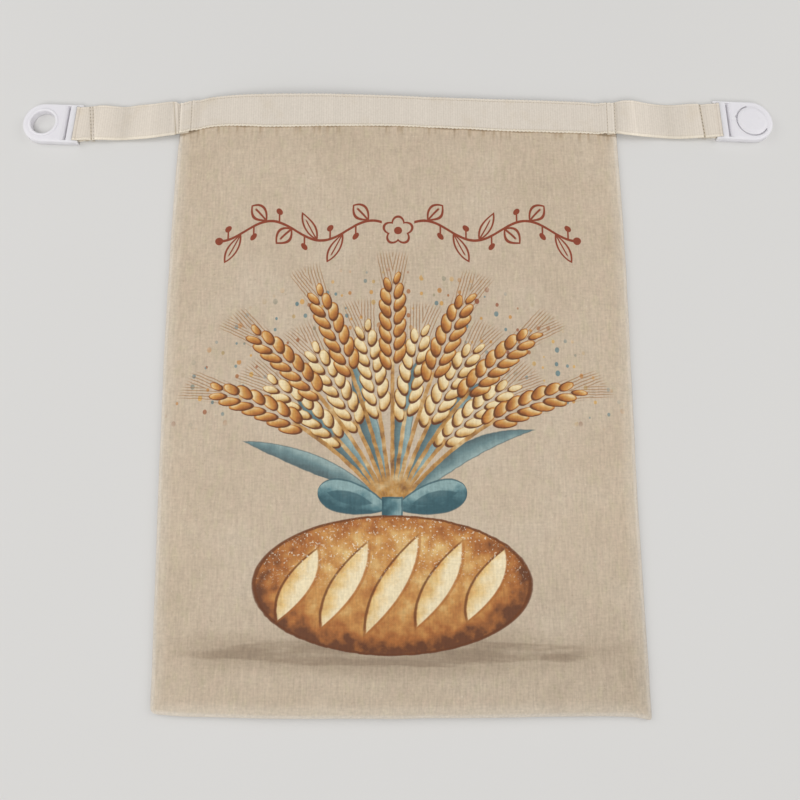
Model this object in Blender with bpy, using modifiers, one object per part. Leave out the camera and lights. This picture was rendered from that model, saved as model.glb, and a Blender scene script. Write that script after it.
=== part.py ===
"""Waxed cotton bread bag, lying face up with its webbing tails spread out.

Two canvas panels are sewn together at the sides and the bottom, turned, and lie almost
flat, with a shallow hollow between them. A webbing band is sewn across the front panel
along the mouth. A doubled webbing tail leaves each end of the band and loops round the
bar of one half of a flat plastic snap buckle.

Metres, +Z up, +Y towards the mouth. The bag lies on z = 0.
"""
import math

import bmesh
import bpy
from mathutils import Matrix, Vector

# Cloth and webbing
PANEL_T = 0.0010
WEB_T = 0.0010
GAP = 0.0003
WEB_WIDTH = 0.0240
LOOP_WIDTH = 0.0234

# Side seams: y, x of the left edge, x of the right edge
SIDE_ROWS = (
    (-0.2050, -0.1487, 0.1530),
    (-0.1346, -0.1498, 0.1515),
    (-0.0728, -0.1509, 0.1507),
    (-0.0081, -0.1518, 0.1509),
    (0.0596, -0.1519, 0.1510),
    (0.1304, -0.1510, 0.1503),
    (0.2050, -0.1490, 0.1495),
)
# Bottom seam: x, y
BOTTOM_ROWS = (
    (-0.1490, -0.2010),
    (-0.1316, -0.2022),
    (-0.0588, -0.2037),
    (0.0139, -0.2036),
    (0.0866, -0.2027),
    (0.1412, -0.2027),
    (0.1530, -0.2046),
)
# Mouth edge of the front panel: x, y, height of its outer face
MOUTH_ROWS = (
    (-0.1490, 0.1984, 0.0026),
    (-0.1390, 0.2006, 0.0027),
    (-0.1310, 0.2019, 0.0037),
    (-0.1200, 0.2032, 0.0054),
    (-0.0900, 0.2036, 0.0084),
    (-0.0500, 0.2036, 0.0088),
    (0.0000, 0.2029, 0.0068),
    (0.0500, 0.2027, 0.0058),
    (0.1000, 0.2018, 0.0046),
    (0.1310, 0.2006, 0.0033),
    (0.1390, 0.2002, 0.0027),
    (0.1500, 0.1998, 0.0026),
)
CORNER_LEFT = 0.0030
CORNER_RIGHT = 0.0012

# Height of the front panel's outer face
SEAM_Z = 0.0024
ROLL_WIDTH = 0.0080
SIDE_CROWN = 0.0046
MID_CROWN = 0.0078
CROWN_POWER = 3
FLAT_BELOW_MOUTH = 0.0300
MOUTH_BLEND = 0.0700
# Soft dimples and swells in the front: x, y, radius along x, radius along y, height
DIMPLES = (
    (-0.105, 0.120, 0.050, 0.040, -0.0005),
    (-0.020, 0.060, 0.070, 0.050, 0.0005),
    (0.055, 0.135, 0.040, 0.050, -0.0006),
    (0.085, -0.020, 0.060, 0.060, -0.0004),
    (-0.090, -0.060, 0.060, 0.070, 0.0004),
    (0.010, -0.150, 0.060, 0.050, -0.0004),
)

# Mesh density of the cloth
BODY_LENGTH = 0.376
ROLL_STEPS = 4
MID_COLUMNS = 17
MID_ROWS = 19
BAND_ROWS = 3

# Band across the front
BAND_LIP = 0.0008
BAND_LEFT_END = -0.1486
BAND_RIGHT_END = 0.1491
ROOT_LEFT_END = -0.1390
ROOT_RIGHT_END = 0.1405
ROOT_SLOPE = 0.0090
ROOT_MIDDLE = 0.0050
COLUMN_SPACING_LEAST = 0.0020

# Snap buckle, along u from the end of its rails to the tip of its round head
BUCKLE_T = 0.0050
CUT_OVER = 0.0010
BUCKLE_HALF_WIDTH = 0.0137
HEAD_U = 0.0272
HEAD_RADIUS = 0.0138
ARC_STEPS = 24
RIM_BEVEL = 0.0008
RIM_ANGLE = 40.0
RAIL_T = 0.0015
LOOP_BAR_U = 0.0017
LOOP_BAR_RADIUS = 0.0013
LOOP_BAR_Z = 0.0028
WEB_SLOT_END = 0.0050
FREE_SLOT_START = 0.0092
FREE_SLOT_END = 0.0112
SOCKET_RADIUS = 0.0084
SOCKET_LIP_RADIUS = 0.0098
LIP_HEIGHT = 0.0006
BUTTON_RADIUS = 0.0102
GROOVE_WIDTH = 0.0009
GROOVE_DEPTH = 0.0020
GROOVE_START = 104.0
GROOVE_END = 330.0
GROOVE_STEPS = 28
ROUND_STEPS = 36
BAR_STEPS = 16

# Placing of the two halves: x, y at the end of the rails, heading of the head in degrees
LEFT_BUCKLE = (-0.2173, 0.1838, 177.2)
RIGHT_BUCKLE = (0.21725, 0.1862, -0.6)

# Tails from under the band to the buckle:
# x, y, height of the lower layer's middle, extra space between the layers
LEFT_TAIL_ROWS = (
    (ROOT_LEFT_END, 0.1878, 0.0036, 0.0000),
    (-0.1440, 0.1876, 0.0036, 0.0000),
    (-0.1496, 0.1875, 0.0036, 0.0001),
    (-0.1560, 0.1876, 0.0031, 0.0006),
    (-0.1640, 0.1876, 0.0018, 0.0014),
    (-0.1730, 0.1874, 0.0010, 0.0015),
    (-0.1810, 0.1867, 0.0008, 0.0006),
    (-0.1885, 0.1861, 0.0008, 0.0004),
    (-0.1955, 0.1855, 0.0008, 0.0013),
    (-0.2030, 0.1850, 0.0008, 0.0020),
    (-0.2085, 0.1846, 0.0008, 0.0010),
    (-0.2125, 0.1843, 0.0008, 0.0014),
)
RIGHT_TAIL_ROWS = (
    (ROOT_RIGHT_END, 0.1884, 0.0036, 0.0000),
    (0.1450, 0.1885, 0.0036, 0.0000),
    (0.1502, 0.1884, 0.0036, 0.0002),
    (0.1560, 0.1882, 0.0032, 0.0010),
    (0.1640, 0.1879, 0.0022, 0.0018),
    (0.1720, 0.1877, 0.0012, 0.0014),
    (0.1800, 0.1875, 0.0008, 0.0006),
    (0.1880, 0.1872, 0.0008, 0.0005),
    (0.1960, 0.1869, 0.0008, 0.0014),
    (0.2030, 0.1866, 0.0008, 0.0018),
    (0.2075, 0.1865, 0.0008, 0.0012),
    (0.2125, 0.1863, 0.0008, 0.0016),
)
LOOP_STEPS = 10
LOOP_SLACK = 0.00005
LOOP_RADIUS = LOOP_BAR_RADIUS + GAP + WEB_T / 2 + LOOP_SLACK

MERGE = 0.00001
FLAT_ANGLE = 0.01
COLLECTION = "bread_bag"

# Colours: linear red, green, blue, then roughness
CANVAS_COLOUR = (0.56, 0.47, 0.36, 0.80)
BACK_COLOUR = (0.60, 0.53, 0.43, 0.80)
WEB_COLOUR = (0.69, 0.62, 0.53, 0.90)
PLASTIC_COLOUR = (0.80, 0.79, 0.81, 0.35)


def clear_scene():
    """Remove every object of the open scene."""
    for old in list(bpy.data.objects):
        bpy.data.objects.remove(old, do_unlink=True)


def new_collection(name, hidden=False):
    """Make a collection in the scene."""
    group = bpy.data.collections.new(name)
    bpy.context.scene.collection.children.link(group)
    group.hide_render = hidden
    return group


def new_material(name, colour):
    """Make a Principled material from a colour and a roughness."""
    material = bpy.data.materials.new(name)
    material.use_nodes = True
    shader = material.node_tree.nodes["Principled BSDF"]
    shader.inputs["Base Color"].default_value = (*colour[:3], 1.0)
    shader.inputs["Roughness"].default_value = colour[3]
    shader.inputs["Metallic"].default_value = 0.0
    return material


def new_object(name, mesh, group, colour=None):
    """Put a mesh in the scene as a named object."""
    made = bpy.data.objects.new(name, mesh)
    group.objects.link(made)
    if colour is not None:
        mesh.materials.append(new_material(name, colour))
    return made


def table_value(rows, key, column):
    """Read one column of a table at a key, as a smooth curve through its rows."""
    last = len(rows) - 1
    if key <= rows[0][0]:
        return rows[0][column]
    if key >= rows[last][0]:
        return rows[last][column]
    low = max(i for i in range(last) if rows[i][0] <= key)
    before, start, end, after = (rows[min(max(low + k, 0), last)] for k in (-1, 0, 1, 2))
    span = end[0] - start[0]
    t = (key - start[0]) / span
    slope_start = (end[column] - before[column]) / (end[0] - before[0]) * span
    slope_end = (after[column] - start[column]) / (after[0] - start[0]) * span
    return (
        (2 * t**3 - 3 * t**2 + 1) * start[column]
        + (t**3 - 2 * t**2 + t) * slope_start
        + (-2 * t**3 + 3 * t**2) * end[column]
        + (t**3 - t**2) * slope_end
    )


def ease(value):
    """Go smoothly from 0 to 1."""
    value = min(max(value, 0.0), 1.0)
    return value * value * (3 - 2 * value)


def corner_inset(height, radius):
    """How far a rounded bottom corner pulls the side in at a height above the seam."""
    missing = radius - min(max(height, 0.0), radius)
    return radius - math.sqrt(radius**2 - missing**2)


def bottom_y(x):
    return table_value(BOTTOM_ROWS, x, 1)


def mouth_y(x):
    return table_value(MOUTH_ROWS, x, 1)


def side_x(y, column, radius, inward):
    """The x of one side seam, drawn in at its bottom corner."""
    edge = table_value(SIDE_ROWS, y, column)
    return edge + inward * corner_inset(y - bottom_y(edge), radius)


def left_x(y):
    return side_x(y, 1, CORNER_LEFT, 1)


def right_x(y):
    return side_x(y, 2, CORNER_RIGHT, -1)


def rolled(distance):
    """Share of the crown reached at a distance from a seam: a quarter of an ellipse."""
    if distance >= ROLL_WIDTH:
        return 1.0
    left = 1 - max(distance, 0.0) / ROLL_WIDTH
    return math.sqrt(max(1 - left * left, 0.0))


def crown(x, y):
    """Height that the front panel reaches away from its seams."""
    centre = (left_x(y) + right_x(y)) / 2
    across = abs(x - centre) / ((right_x(y) - left_x(y)) / 2)
    height = SIDE_CROWN + (MID_CROWN - SIDE_CROWN) * (1 - across**CROWN_POWER)
    for at_x, at_y, wide, tall, rise in DIMPLES:
        reach = ((x - at_x) / wide) ** 2 + ((y - at_y) / tall) ** 2
        height += rise * math.exp(-reach)
    near_mouth = ease(1 - (mouth_y(x) - y - FLAT_BELOW_MOUTH) / MOUTH_BLEND)
    lifted = table_value(MOUTH_ROWS, x, 2)
    return height + (lifted - height) * near_mouth


def front_height(x, y):
    """Height of the front panel's outer face."""
    share = rolled(x - left_x(y)) * rolled(right_x(y) - x) * rolled(y - bottom_y(x))
    return SEAM_Z + (crown(x, y) - SEAM_Z) * share


def roll_distances():
    """Distances from a seam that follow the roll in even turns."""
    turns = [math.pi / 2 * k / ROLL_STEPS for k in range(ROLL_STEPS + 1)]
    return [ROLL_WIDTH * (1 - math.cos(turn)) for turn in turns]


def column_x(y):
    """The x of each grid column at a height y, close together where the cloth rolls."""
    left, right = left_x(y), right_x(y)
    start, end = left + ROLL_WIDTH, right - ROLL_WIDTH
    rolls = roll_distances()
    middle = [start + (end - start) * k / MID_COLUMNS for k in range(1, MID_COLUMNS)]
    return [left + d for d in rolls] + middle + [right - d for d in reversed(rolls)]


def row_share():
    """Rows of the grid: the share of the way up the body, and of the band's rows."""
    shares = [(d / BODY_LENGTH, 0.0) for d in roll_distances()]
    start = ROLL_WIDTH / BODY_LENGTH
    shares += [(start + (1 - start) * k / MID_ROWS, 0.0) for k in range(1, MID_ROWS + 1)]
    shares += [(1.0, k / BAND_ROWS) for k in range(1, BAND_ROWS + 1)]
    return shares


def grid_point(column, row):
    """One point of the front panel's grid on the plane of the table."""
    body, band = row
    y = bottom_y(0.0) + (mouth_y(0.0) - bottom_y(0.0)) * body
    for _ in range(3):
        x = column_x(y)[column]
        band_low = mouth_y(x) + BAND_LIP - WEB_WIDTH
        y = bottom_y(x) + (band_low - bottom_y(x)) * body + (mouth_y(x) - band_low) * band
    return x, y


def grid_mesh(name, rows):
    """A surface from rows of points, each row with the same number of points."""
    shape = bmesh.new()
    verts = [[shape.verts.new(point) for point in row] for row in rows]
    for low, high in zip(verts, verts[1:]):
        for k in range(len(low) - 1):
            shape.faces.new((low[k], low[k + 1], high[k + 1], high[k]))
    mesh = bpy.data.meshes.new(name)
    shape.to_mesh(mesh)
    shape.free()
    mesh.shade_smooth()
    return mesh


def add_solidify(made, thickness, offset):
    """Give an open surface its thickness."""
    wall = made.modifiers.new("wall", "SOLIDIFY")
    wall.thickness = thickness
    wall.offset = offset
    wall.use_even_offset = True
    wall.use_quality_normals = True


def build_front_panel(group):
    """The puffed front panel, its three sewn edges rolled down to the back panel."""
    columns = 2 * (ROLL_STEPS + 1) + MID_COLUMNS - 1
    rows = []
    for share in row_share():
        points = [grid_point(column, share) for column in range(columns)]
        rows.append([(x, y, front_height(x, y)) for x, y in points])
    made = new_object("front_panel", grid_mesh("front_panel", rows), group, CANVAS_COLOUR)
    add_solidify(made, PANEL_T, -1.0)
    return made


def build_back_panel(group):
    """The back panel, flat on the table."""
    columns = 2 * (ROLL_STEPS + 1) + MID_COLUMNS - 1
    shares = [share for share in row_share() if share[1] in (0.0, 1.0)]
    outline = [grid_point(column, shares[0]) for column in range(columns)]
    outline += [grid_point(columns - 1, share) for share in shares[1:]]
    outline += [grid_point(column, shares[-1]) for column in range(columns - 2, -1, -1)]
    outline += [grid_point(0, share) for share in shares[-2:0:-1]]
    shape = bmesh.new()
    shape.faces.new([shape.verts.new((x, y, PANEL_T)) for x, y in outline])
    mesh = bpy.data.meshes.new("back_panel")
    shape.to_mesh(mesh)
    shape.free()
    made = new_object("back_panel", mesh, group, BACK_COLOUR)
    add_solidify(made, PANEL_T, -1.0)
    return made


def band_rise(x):
    """How far the band's ends stand up over the doubled tails tucked under them."""
    doubled = 2 * WEB_T + 3 * GAP
    left = ease(1 - (x - ROOT_LEFT_END) / ROOT_SLOPE)
    right = ease(1 - (ROOT_RIGHT_END - x) / ROOT_SLOPE)
    return doubled * max(left, right)


def band_columns():
    """The x of each cross-section of the band, shared with the front panel's grid."""
    steps = (-ROOT_MIDDLE, 0.0, ROOT_SLOPE / 3, ROOT_SLOPE * 2 / 3)
    left = [ROOT_LEFT_END + step for step in steps]
    right = [ROOT_RIGHT_END - step for step in reversed(steps)]
    low, high = left[-1] + COLUMN_SPACING_LEAST, right[0] - COLUMN_SPACING_LEAST
    inner = [x for x in column_x(mouth_y(0.0) - WEB_WIDTH / 2) if low < x < high]
    return [BAND_LEFT_END] + left + inner + right + [BAND_RIGHT_END]


def build_front_band(group):
    """The webbing band along the mouth, lying on the front panel."""
    rows = []
    for k in range(BAND_ROWS + 1):
        row = []
        for x in band_columns():
            low = mouth_y(x) + BAND_LIP - WEB_WIDTH
            y = low + WEB_WIDTH * k / BAND_ROWS
            under = front_height(x, min(y, mouth_y(x)))
            row.append((x, y, under + GAP + WEB_T + band_rise(x)))
        rows.append(row)
    made = new_object("front_band", grid_mesh("front_band", rows), group, WEB_COLOUR)
    add_solidify(made, WEB_T, -1.0)
    return made


def buckle_frame(place):
    """Matrix from a buckle's own axes to the bag: +X runs to the round head."""
    x, y, heading = place
    return Matrix.Translation((x, y, 0.0)) @ Matrix.Rotation(math.radians(heading), 4, "Z")


def tail_section(centre, across, width):
    """One cross-section of a tail: three points across it."""
    return [tuple(centre + across * (width * side)) for side in (-0.5, 0.0, 0.5)]


def build_tail(name, rows, place, group):
    """One webbing tail: out over the bar, down through the slot and back underneath."""
    frame = buckle_frame(place)
    across_end = frame.to_3x3() @ Vector((0, 1, 0))
    if across_end.y < 0:
        across_end = -across_end
    bar = frame @ Vector((LOOP_BAR_U, 0.0, LOOP_BAR_Z))
    root_x = rows[0][0]

    def section(x, y, z):
        share = (x - root_x) / (bar.x - root_x)
        across = Vector((0, 1, 0)).lerp(across_end, share).normalized()
        width = WEB_WIDTH + (LOOP_WIDTH - WEB_WIDTH) * share
        return tail_section(Vector((x, y, z)), across, width)

    upper = [section(x, y, z + WEB_T + GAP + part) for x, y, z, part in rows]
    lower = [section(x, y, z) for x, y, z, part in rows]
    loop = []
    for k in range(LOOP_STEPS + 1):
        turn = math.pi * (0.5 - k / LOOP_STEPS)
        own = Vector((LOOP_RADIUS * math.cos(turn), 0.0, LOOP_RADIUS * math.sin(turn)))
        centre = frame @ (own + Vector((LOOP_BAR_U, 0.0, LOOP_BAR_Z)))
        loop.append(tail_section(centre, across_end, LOOP_WIDTH))
    mesh = grid_mesh(name, upper + loop + lower[::-1])
    made = new_object(name, mesh, group, WEB_COLOUR)
    add_solidify(made, WEB_T, 0.0)
    return made


def buckle_outline():
    """Outline of a buckle half: two straight rails and a round head."""
    points = [(0.0, -BUCKLE_HALF_WIDTH)]
    for k in range(ARC_STEPS + 1):
        turn = math.pi * (k / ARC_STEPS - 0.5)
        u = HEAD_U + HEAD_RADIUS * math.cos(turn)
        points.append((u, BUCKLE_HALF_WIDTH * math.sin(turn)))
    points.append((0.0, BUCKLE_HALF_WIDTH))
    return points


def buckle_blank(name, group):
    """The solid plate of a buckle half, its rims rounded, before it is cut."""
    curve = bpy.data.curves.new(name, "CURVE")
    curve.dimensions = "2D"
    curve.fill_mode = "BOTH"
    curve.extrude = BUCKLE_T / 2
    outline = buckle_outline()
    spline = curve.splines.new("POLY")
    spline.points.add(len(outline) - 1)
    for point, (u, v) in zip(spline.points, outline):
        point.co = (u, v, 0.0, 1.0)
    spline.use_cyclic_u = True
    drawn = bpy.data.objects.new(name + "_outline", curve)
    group.objects.link(drawn)
    graph = bpy.context.evaluated_depsgraph_get()
    mesh = bpy.data.meshes.new_from_object(drawn.evaluated_get(graph))
    bpy.data.objects.remove(drawn, do_unlink=True)
    mesh.transform(Matrix.Translation((0.0, 0.0, BUCKLE_T / 2)))
    shape = bmesh.new()
    shape.from_mesh(mesh)
    bmesh.ops.remove_doubles(shape, verts=shape.verts[:], dist=MERGE)
    bmesh.ops.dissolve_limit(
        shape, angle_limit=FLAT_ANGLE, verts=shape.verts[:], edges=shape.edges[:]
    )
    shape.to_mesh(mesh)
    shape.free()
    mesh.name = name
    mesh.shade_smooth()
    mesh.set_sharp_from_angle(angle=math.radians(RIM_ANGLE))
    made = new_object(name, mesh, group, PLASTIC_COLOUR)
    rim = made.modifiers.new("rim", "BEVEL")
    rim.width = RIM_BEVEL
    rim.segments = 2
    rim.limit_method = "ANGLE"
    rim.angle_limit = math.radians(RIM_ANGLE)
    return made


def helper_object(name, shape, group):
    """Turn a bmesh into a helper that the build leaves out."""
    mesh = bpy.data.meshes.new(name)
    shape.to_mesh(mesh)
    shape.free()
    helper = new_object(name, mesh, group)
    helper.hide_render = True
    helper.display_type = "WIRE"
    return helper


def box_helper(name, low, high, group):
    """A box between two corners."""
    shape = bmesh.new()
    bmesh.ops.create_cube(shape, size=1.0)
    size = Vector(high) - Vector(low)
    middle = (Vector(high) + Vector(low)) / 2
    bmesh.ops.scale(shape, vec=size, verts=shape.verts[:])
    bmesh.ops.translate(shape, vec=middle, verts=shape.verts[:])
    return helper_object(name, shape, group)


def head_helper(name, low_radius, high_radius, low, high, group):
    """A round helper that stands on the middle of the buckle's head."""
    shape = bmesh.new()
    bmesh.ops.create_cone(
        shape,
        cap_ends=True,
        segments=ROUND_STEPS,
        radius1=low_radius,
        radius2=high_radius,
        depth=high - low,
    )
    bmesh.ops.translate(shape, vec=(HEAD_U, 0.0, (high + low) / 2), verts=shape.verts[:])
    return helper_object(name, shape, group)


def bar_helper(name, group):
    """The round bar that the webbing loops over, with its ends inside the rails."""
    shape = bmesh.new()
    bmesh.ops.create_cone(
        shape,
        cap_ends=True,
        segments=BAR_STEPS,
        radius1=LOOP_BAR_RADIUS,
        radius2=LOOP_BAR_RADIUS,
        depth=2 * BUCKLE_HALF_WIDTH - RAIL_T,
    )
    bmesh.ops.rotate(shape, matrix=Matrix.Rotation(math.pi / 2, 3, "X"), verts=shape.verts[:])
    bmesh.ops.translate(shape, vec=(LOOP_BAR_U, 0.0, LOOP_BAR_Z), verts=shape.verts[:])
    return helper_object(name, shape, group)


def groove_helper(name, group):
    """A C-shaped groove round the button, open towards the tip."""
    inner, outer = BUTTON_RADIUS, BUTTON_RADIUS + GROOVE_WIDTH
    bottom, top = BUCKLE_T - GROOVE_DEPTH, BUCKLE_T + CUT_OVER
    corners = ((inner, bottom), (outer, bottom), (outer, top), (inner, top))
    shape = bmesh.new()
    sections = []
    for k in range(GROOVE_STEPS + 1):
        turn = math.radians(GROOVE_START + (GROOVE_END - GROOVE_START) * k / GROOVE_STEPS)
        points = [(HEAD_U + r * math.cos(turn), r * math.sin(turn), z) for r, z in corners]
        sections.append([shape.verts.new(point) for point in points])
    for here, there in zip(sections, sections[1:]):
        for k in range(len(corners)):
            n = (k + 1) % len(corners)
            shape.faces.new((here[k], there[k], there[n], here[n]))
    shape.faces.new(sections[0])
    shape.faces.new(sections[-1][::-1])
    bmesh.ops.recalc_face_normals(shape, faces=shape.faces[:])
    return helper_object(name, shape, group)


def add_boolean(made, helper, operation):
    """Cut or join with a helper that moves with the piece."""
    helper.parent = made
    step = made.modifiers.new(helper.name, "BOOLEAN")
    step.operation = operation
    step.object = helper
    step.solver = "EXACT"


def cut_slots(made, side, cutters):
    """Open the webbing's notch and the free slot, then add the round bar."""
    wide = BUCKLE_HALF_WIDTH - RAIL_T
    under, over = -CUT_OVER, BUCKLE_T + CUT_OVER
    notch = box_helper(
        side + "_notch", (-CUT_OVER, -wide, under), (WEB_SLOT_END, wide, over), cutters
    )
    slot = box_helper(
        side + "_slot", (FREE_SLOT_START, -wide, under), (FREE_SLOT_END, wide, over), cutters
    )
    add_boolean(made, notch, "DIFFERENCE")
    add_boolean(made, slot, "DIFFERENCE")
    add_boolean(made, bar_helper(side + "_bar", cutters), "UNION")


def raised_disc(name, radius, cutters):
    """A low disc on the head, its rim sloped at 45 degrees."""
    low, high = BUCKLE_T - CUT_OVER, BUCKLE_T + LIP_HEIGHT
    return head_helper(name, radius + CUT_OVER, radius - LIP_HEIGHT, low, high, cutters)


def build_left_buckle(group, cutters):
    """The half with the round socket, its mouth ringed by a low lip."""
    made = buckle_blank("left_buckle", group)
    cut_slots(made, "left", cutters)
    hole = head_helper(
        "left_hole", SOCKET_RADIUS, SOCKET_RADIUS, -CUT_OVER, BUCKLE_T + 2 * CUT_OVER, cutters
    )
    add_boolean(made, raised_disc("left_lip", SOCKET_LIP_RADIUS, cutters), "UNION")
    add_boolean(made, hole, "DIFFERENCE")
    made.matrix_world = buckle_frame(LEFT_BUCKLE)
    return made


def build_right_buckle(group, cutters):
    """The half with the sprung round button, free on three sides in a C-shaped groove."""
    made = buckle_blank("right_buckle", group)
    cut_slots(made, "right", cutters)
    add_boolean(made, raised_disc("right_button", BUTTON_RADIUS, cutters), "UNION")
    add_boolean(made, groove_helper("right_groove", cutters), "DIFFERENCE")
    made.matrix_world = buckle_frame(RIGHT_BUCKLE)
    return made


def main():
    clear_scene()
    group = new_collection(COLLECTION)
    cutters = new_collection(COLLECTION + "_cutters", hidden=True)
    build_back_panel(group)
    build_front_panel(group)
    build_front_band(group)
    build_tail("left_strap", LEFT_TAIL_ROWS, LEFT_BUCKLE, group)
    build_tail("right_strap", RIGHT_TAIL_ROWS, RIGHT_BUCKLE, group)
    build_left_buckle(group, cutters)
    build_right_buckle(group, cutters)


main()
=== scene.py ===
"""Looks of a waxed cotton bread bag with a webbing band and a plastic snap buckle.

Metres, +Z up, +Y towards the mouth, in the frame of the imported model.
"""
import math
from types import SimpleNamespace

import bmesh
import bpy
import numpy as np
from mathutils import Matrix, Vector


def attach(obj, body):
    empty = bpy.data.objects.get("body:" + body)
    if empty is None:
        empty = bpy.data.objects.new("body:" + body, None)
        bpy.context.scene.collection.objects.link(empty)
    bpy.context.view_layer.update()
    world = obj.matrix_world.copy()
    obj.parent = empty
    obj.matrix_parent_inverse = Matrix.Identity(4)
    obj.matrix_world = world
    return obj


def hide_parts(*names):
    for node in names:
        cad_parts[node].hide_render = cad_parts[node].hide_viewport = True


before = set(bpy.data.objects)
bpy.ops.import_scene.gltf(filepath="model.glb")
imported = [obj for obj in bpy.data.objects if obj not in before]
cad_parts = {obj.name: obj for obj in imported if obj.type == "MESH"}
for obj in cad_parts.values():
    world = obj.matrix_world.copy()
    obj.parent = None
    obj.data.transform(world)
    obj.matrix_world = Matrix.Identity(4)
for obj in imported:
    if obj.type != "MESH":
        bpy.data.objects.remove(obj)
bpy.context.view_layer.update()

MM = 0.001
MM_PER_M = 1000.0

# Side seams: y, x of the left edge, x of the right edge
SIDE_ROWS = (
    (-0.2050, -0.1484, 0.1532),
    (-0.1346, -0.1497, 0.1521),
    (-0.0728, -0.1506, 0.1516),
    (-0.0081, -0.1515, 0.1516),
    (0.0596, -0.1517, 0.1519),
    (0.1304, -0.1508, 0.1513),
    (0.2050, -0.1485, 0.1497),
)
# Bottom seam: x, y
BOTTOM_ROWS = (
    (-0.1490, -0.2010),
    (-0.1316, -0.2022),
    (-0.0588, -0.2037),
    (0.0139, -0.2036),
    (0.0866, -0.2027),
    (0.1412, -0.2027),
    (0.1530, -0.2046),
)
# Mouth edge of the front panel: x, y, height of its outer face
MOUTH_ROWS = (
    (-0.1490, 0.1984, 0.0026),
    (-0.1390, 0.2006, 0.0027),
    (-0.1310, 0.2019, 0.0037),
    (-0.1200, 0.2032, 0.0054),
    (-0.0900, 0.2036, 0.0084),
    (-0.0500, 0.2036, 0.0088),
    (0.0000, 0.2029, 0.0068),
    (0.0500, 0.2027, 0.0058),
    (0.1000, 0.2018, 0.0046),
    (0.1310, 0.2006, 0.0033),
    (0.1390, 0.2002, 0.0027),
    (0.1500, 0.1998, 0.0026),
)
MOUTH_UNDER = 0.0005
CORNER_LEFT = 0.0030
CORNER_RIGHT = 0.0012

# Height of the front panel's outer face
SEAM_Z = 0.0024
ROLL_WIDTH = 0.0080
SIDE_CROWN = 0.0046
MID_CROWN = 0.0078
CROWN_POWER = 3
FLAT_BELOW_MOUTH = 0.0300
MOUTH_BLEND = 0.0700
# Soft dimples and swells: x, y, radius along x, radius along y, height
DIMPLES = (
    (-0.105, 0.120, 0.050, 0.040, -0.0005),
    (-0.020, 0.060, 0.070, 0.050, 0.0005),
    (0.055, 0.135, 0.040, 0.050, -0.0006),
    (0.085, -0.020, 0.060, 0.060, -0.0004),
    (-0.090, -0.060, 0.060, 0.070, 0.0004),
    (0.010, -0.150, 0.060, 0.050, -0.0004),
)
# Small creases: start x, start y, end x, end y, half width, height
CREASES = (
    (0.1365, 0.1610, 0.1480, 0.1560, 0.0012, -0.00035),
    (0.1330, 0.1650, 0.1470, 0.1590, 0.0020, 0.00030),
    (0.0080, -0.2040, 0.0105, -0.1900, 0.0016, -0.00030),
    (-0.1300, 0.1700, -0.1230, 0.1480, 0.0030, -0.00030),
    (-0.1120, 0.1760, -0.1080, 0.1600, 0.0026, 0.00025),
    (0.0560, 0.1500, 0.0600, 0.1380, 0.0060, -0.00035),
    (-0.1500, 0.0400, -0.1380, 0.0440, 0.0024, -0.00025),
    (0.1500, -0.0900, 0.1390, -0.0860, 0.0026, -0.00025),
)

# Fine unevenness of the front: height, size of its lumps, seed
SWELLS = (
    (0.00022, 0.040, 11),
    (0.00008, 0.013, 12),
)
# Pucker along the seams, the trough that the band pulls, and the gathers below it.
# Puckers, lumps, wobbles and the band's sway are each given as a size and a seed.
PUCKER = 0.00016
PUCKER_REACH = 0.007
PUCKER_STRETCH = 0.15
SIDE_PUCKER = (0.0055, 13)
FOOT_PUCKER = (0.0065, 14)
PULL = 0.00020
PULL_BELOW = 0.003
PULL_WIDTH = 0.004
GATHER = 0.00062
GATHER_LUMPS = (0.0075, 15)
GATHER_STRETCH = 0.12
GATHER_REACH = 0.012
CALM_WIDTH = 0.003

# Both panels: thickness, the grid's size and steps, the wavering outline, and the front
# panel's turned-in edge
CLOTH_T = 0.0007
CLOTH_WIDTH = 0.300
CLOTH_LENGTH = 0.404
CLOTH_STEP = 0.0020
BACK_STEP = CLOTH_STEP * 1.6
ROLL_STEPS = 10
TUCK = 0.0008
TUCK_WIDTH = 0.0012
INSIDE_LOWEST = 0.00115
WOBBLE = 0.0002
WOBBLE_REACH = 0.010
SIDE_WOBBLE = (0.016, 21)
FOOT_WOBBLE = (0.018, 22)
# Back panel: the hem at its mouth, its turned-up edges and how far it stays behind the front
HEM_WIDTH = 0.0140
HEM_STEP = 0.0005
HEM_SLOPE = 0.0006
HEM_END = 0.004
HEM_LINE = 0.0022
HEM_STITCH_SPAN = (-0.1440, 0.1450)
CURL = 0.0004
CURL_WIDTH = 0.0022
BACK_SETBACK = 0.0012
SETBACK_REACH = 0.004
BACK_DIMPLE = 0.00004
BACK_LUMPS = (0.012, 31)
BACK_LIFT = 0.0001

# Webbing: size, ribs, swollen and rounded selvedges, and the troughs that stitches pull
WEB_T = 0.0010
WEB_WIDTH = 0.0240
LOOP_WIDTH = 0.0248
GAP = 0.0003
RIB_PITCH = 0.00160
RIB_HEIGHT = 0.00006
RIB_SAMPLES = 5
SELVEDGE = 0.0013
SELVEDGE_SWELL = 0.00022
SELVEDGE_ROUND = 0.0005
SELVEDGE_LEFT = 0.15
SCALLOP = 0.00020
SCALLOP_PITCH = 0.0027
SWAY = 0.00012
BAND_SWAY = (0.010, 43)
TAIL_SWAY_SIZE = 0.009
# How strongly ridges and troughs across the webbing are painted lighter and darker, as painted
# light and shade
PAINTED_SHADE_PER_METRE = 450
TROUGH_WIDTH = 0.0006
RIDGE_WIDTH = 0.0007
DEEP_TROUGH = 0.0003
SEAM_WIDTH = 0.0004
# Ends of the band, and of the tails tucked under it
BAND_LEFT_END = -0.1500
BAND_RIGHT_END = 0.1499
ROOT_LEFT_END = -0.1430
ROOT_RIGHT_END = 0.1440
ROOT_SLOPE = 0.0090
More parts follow.
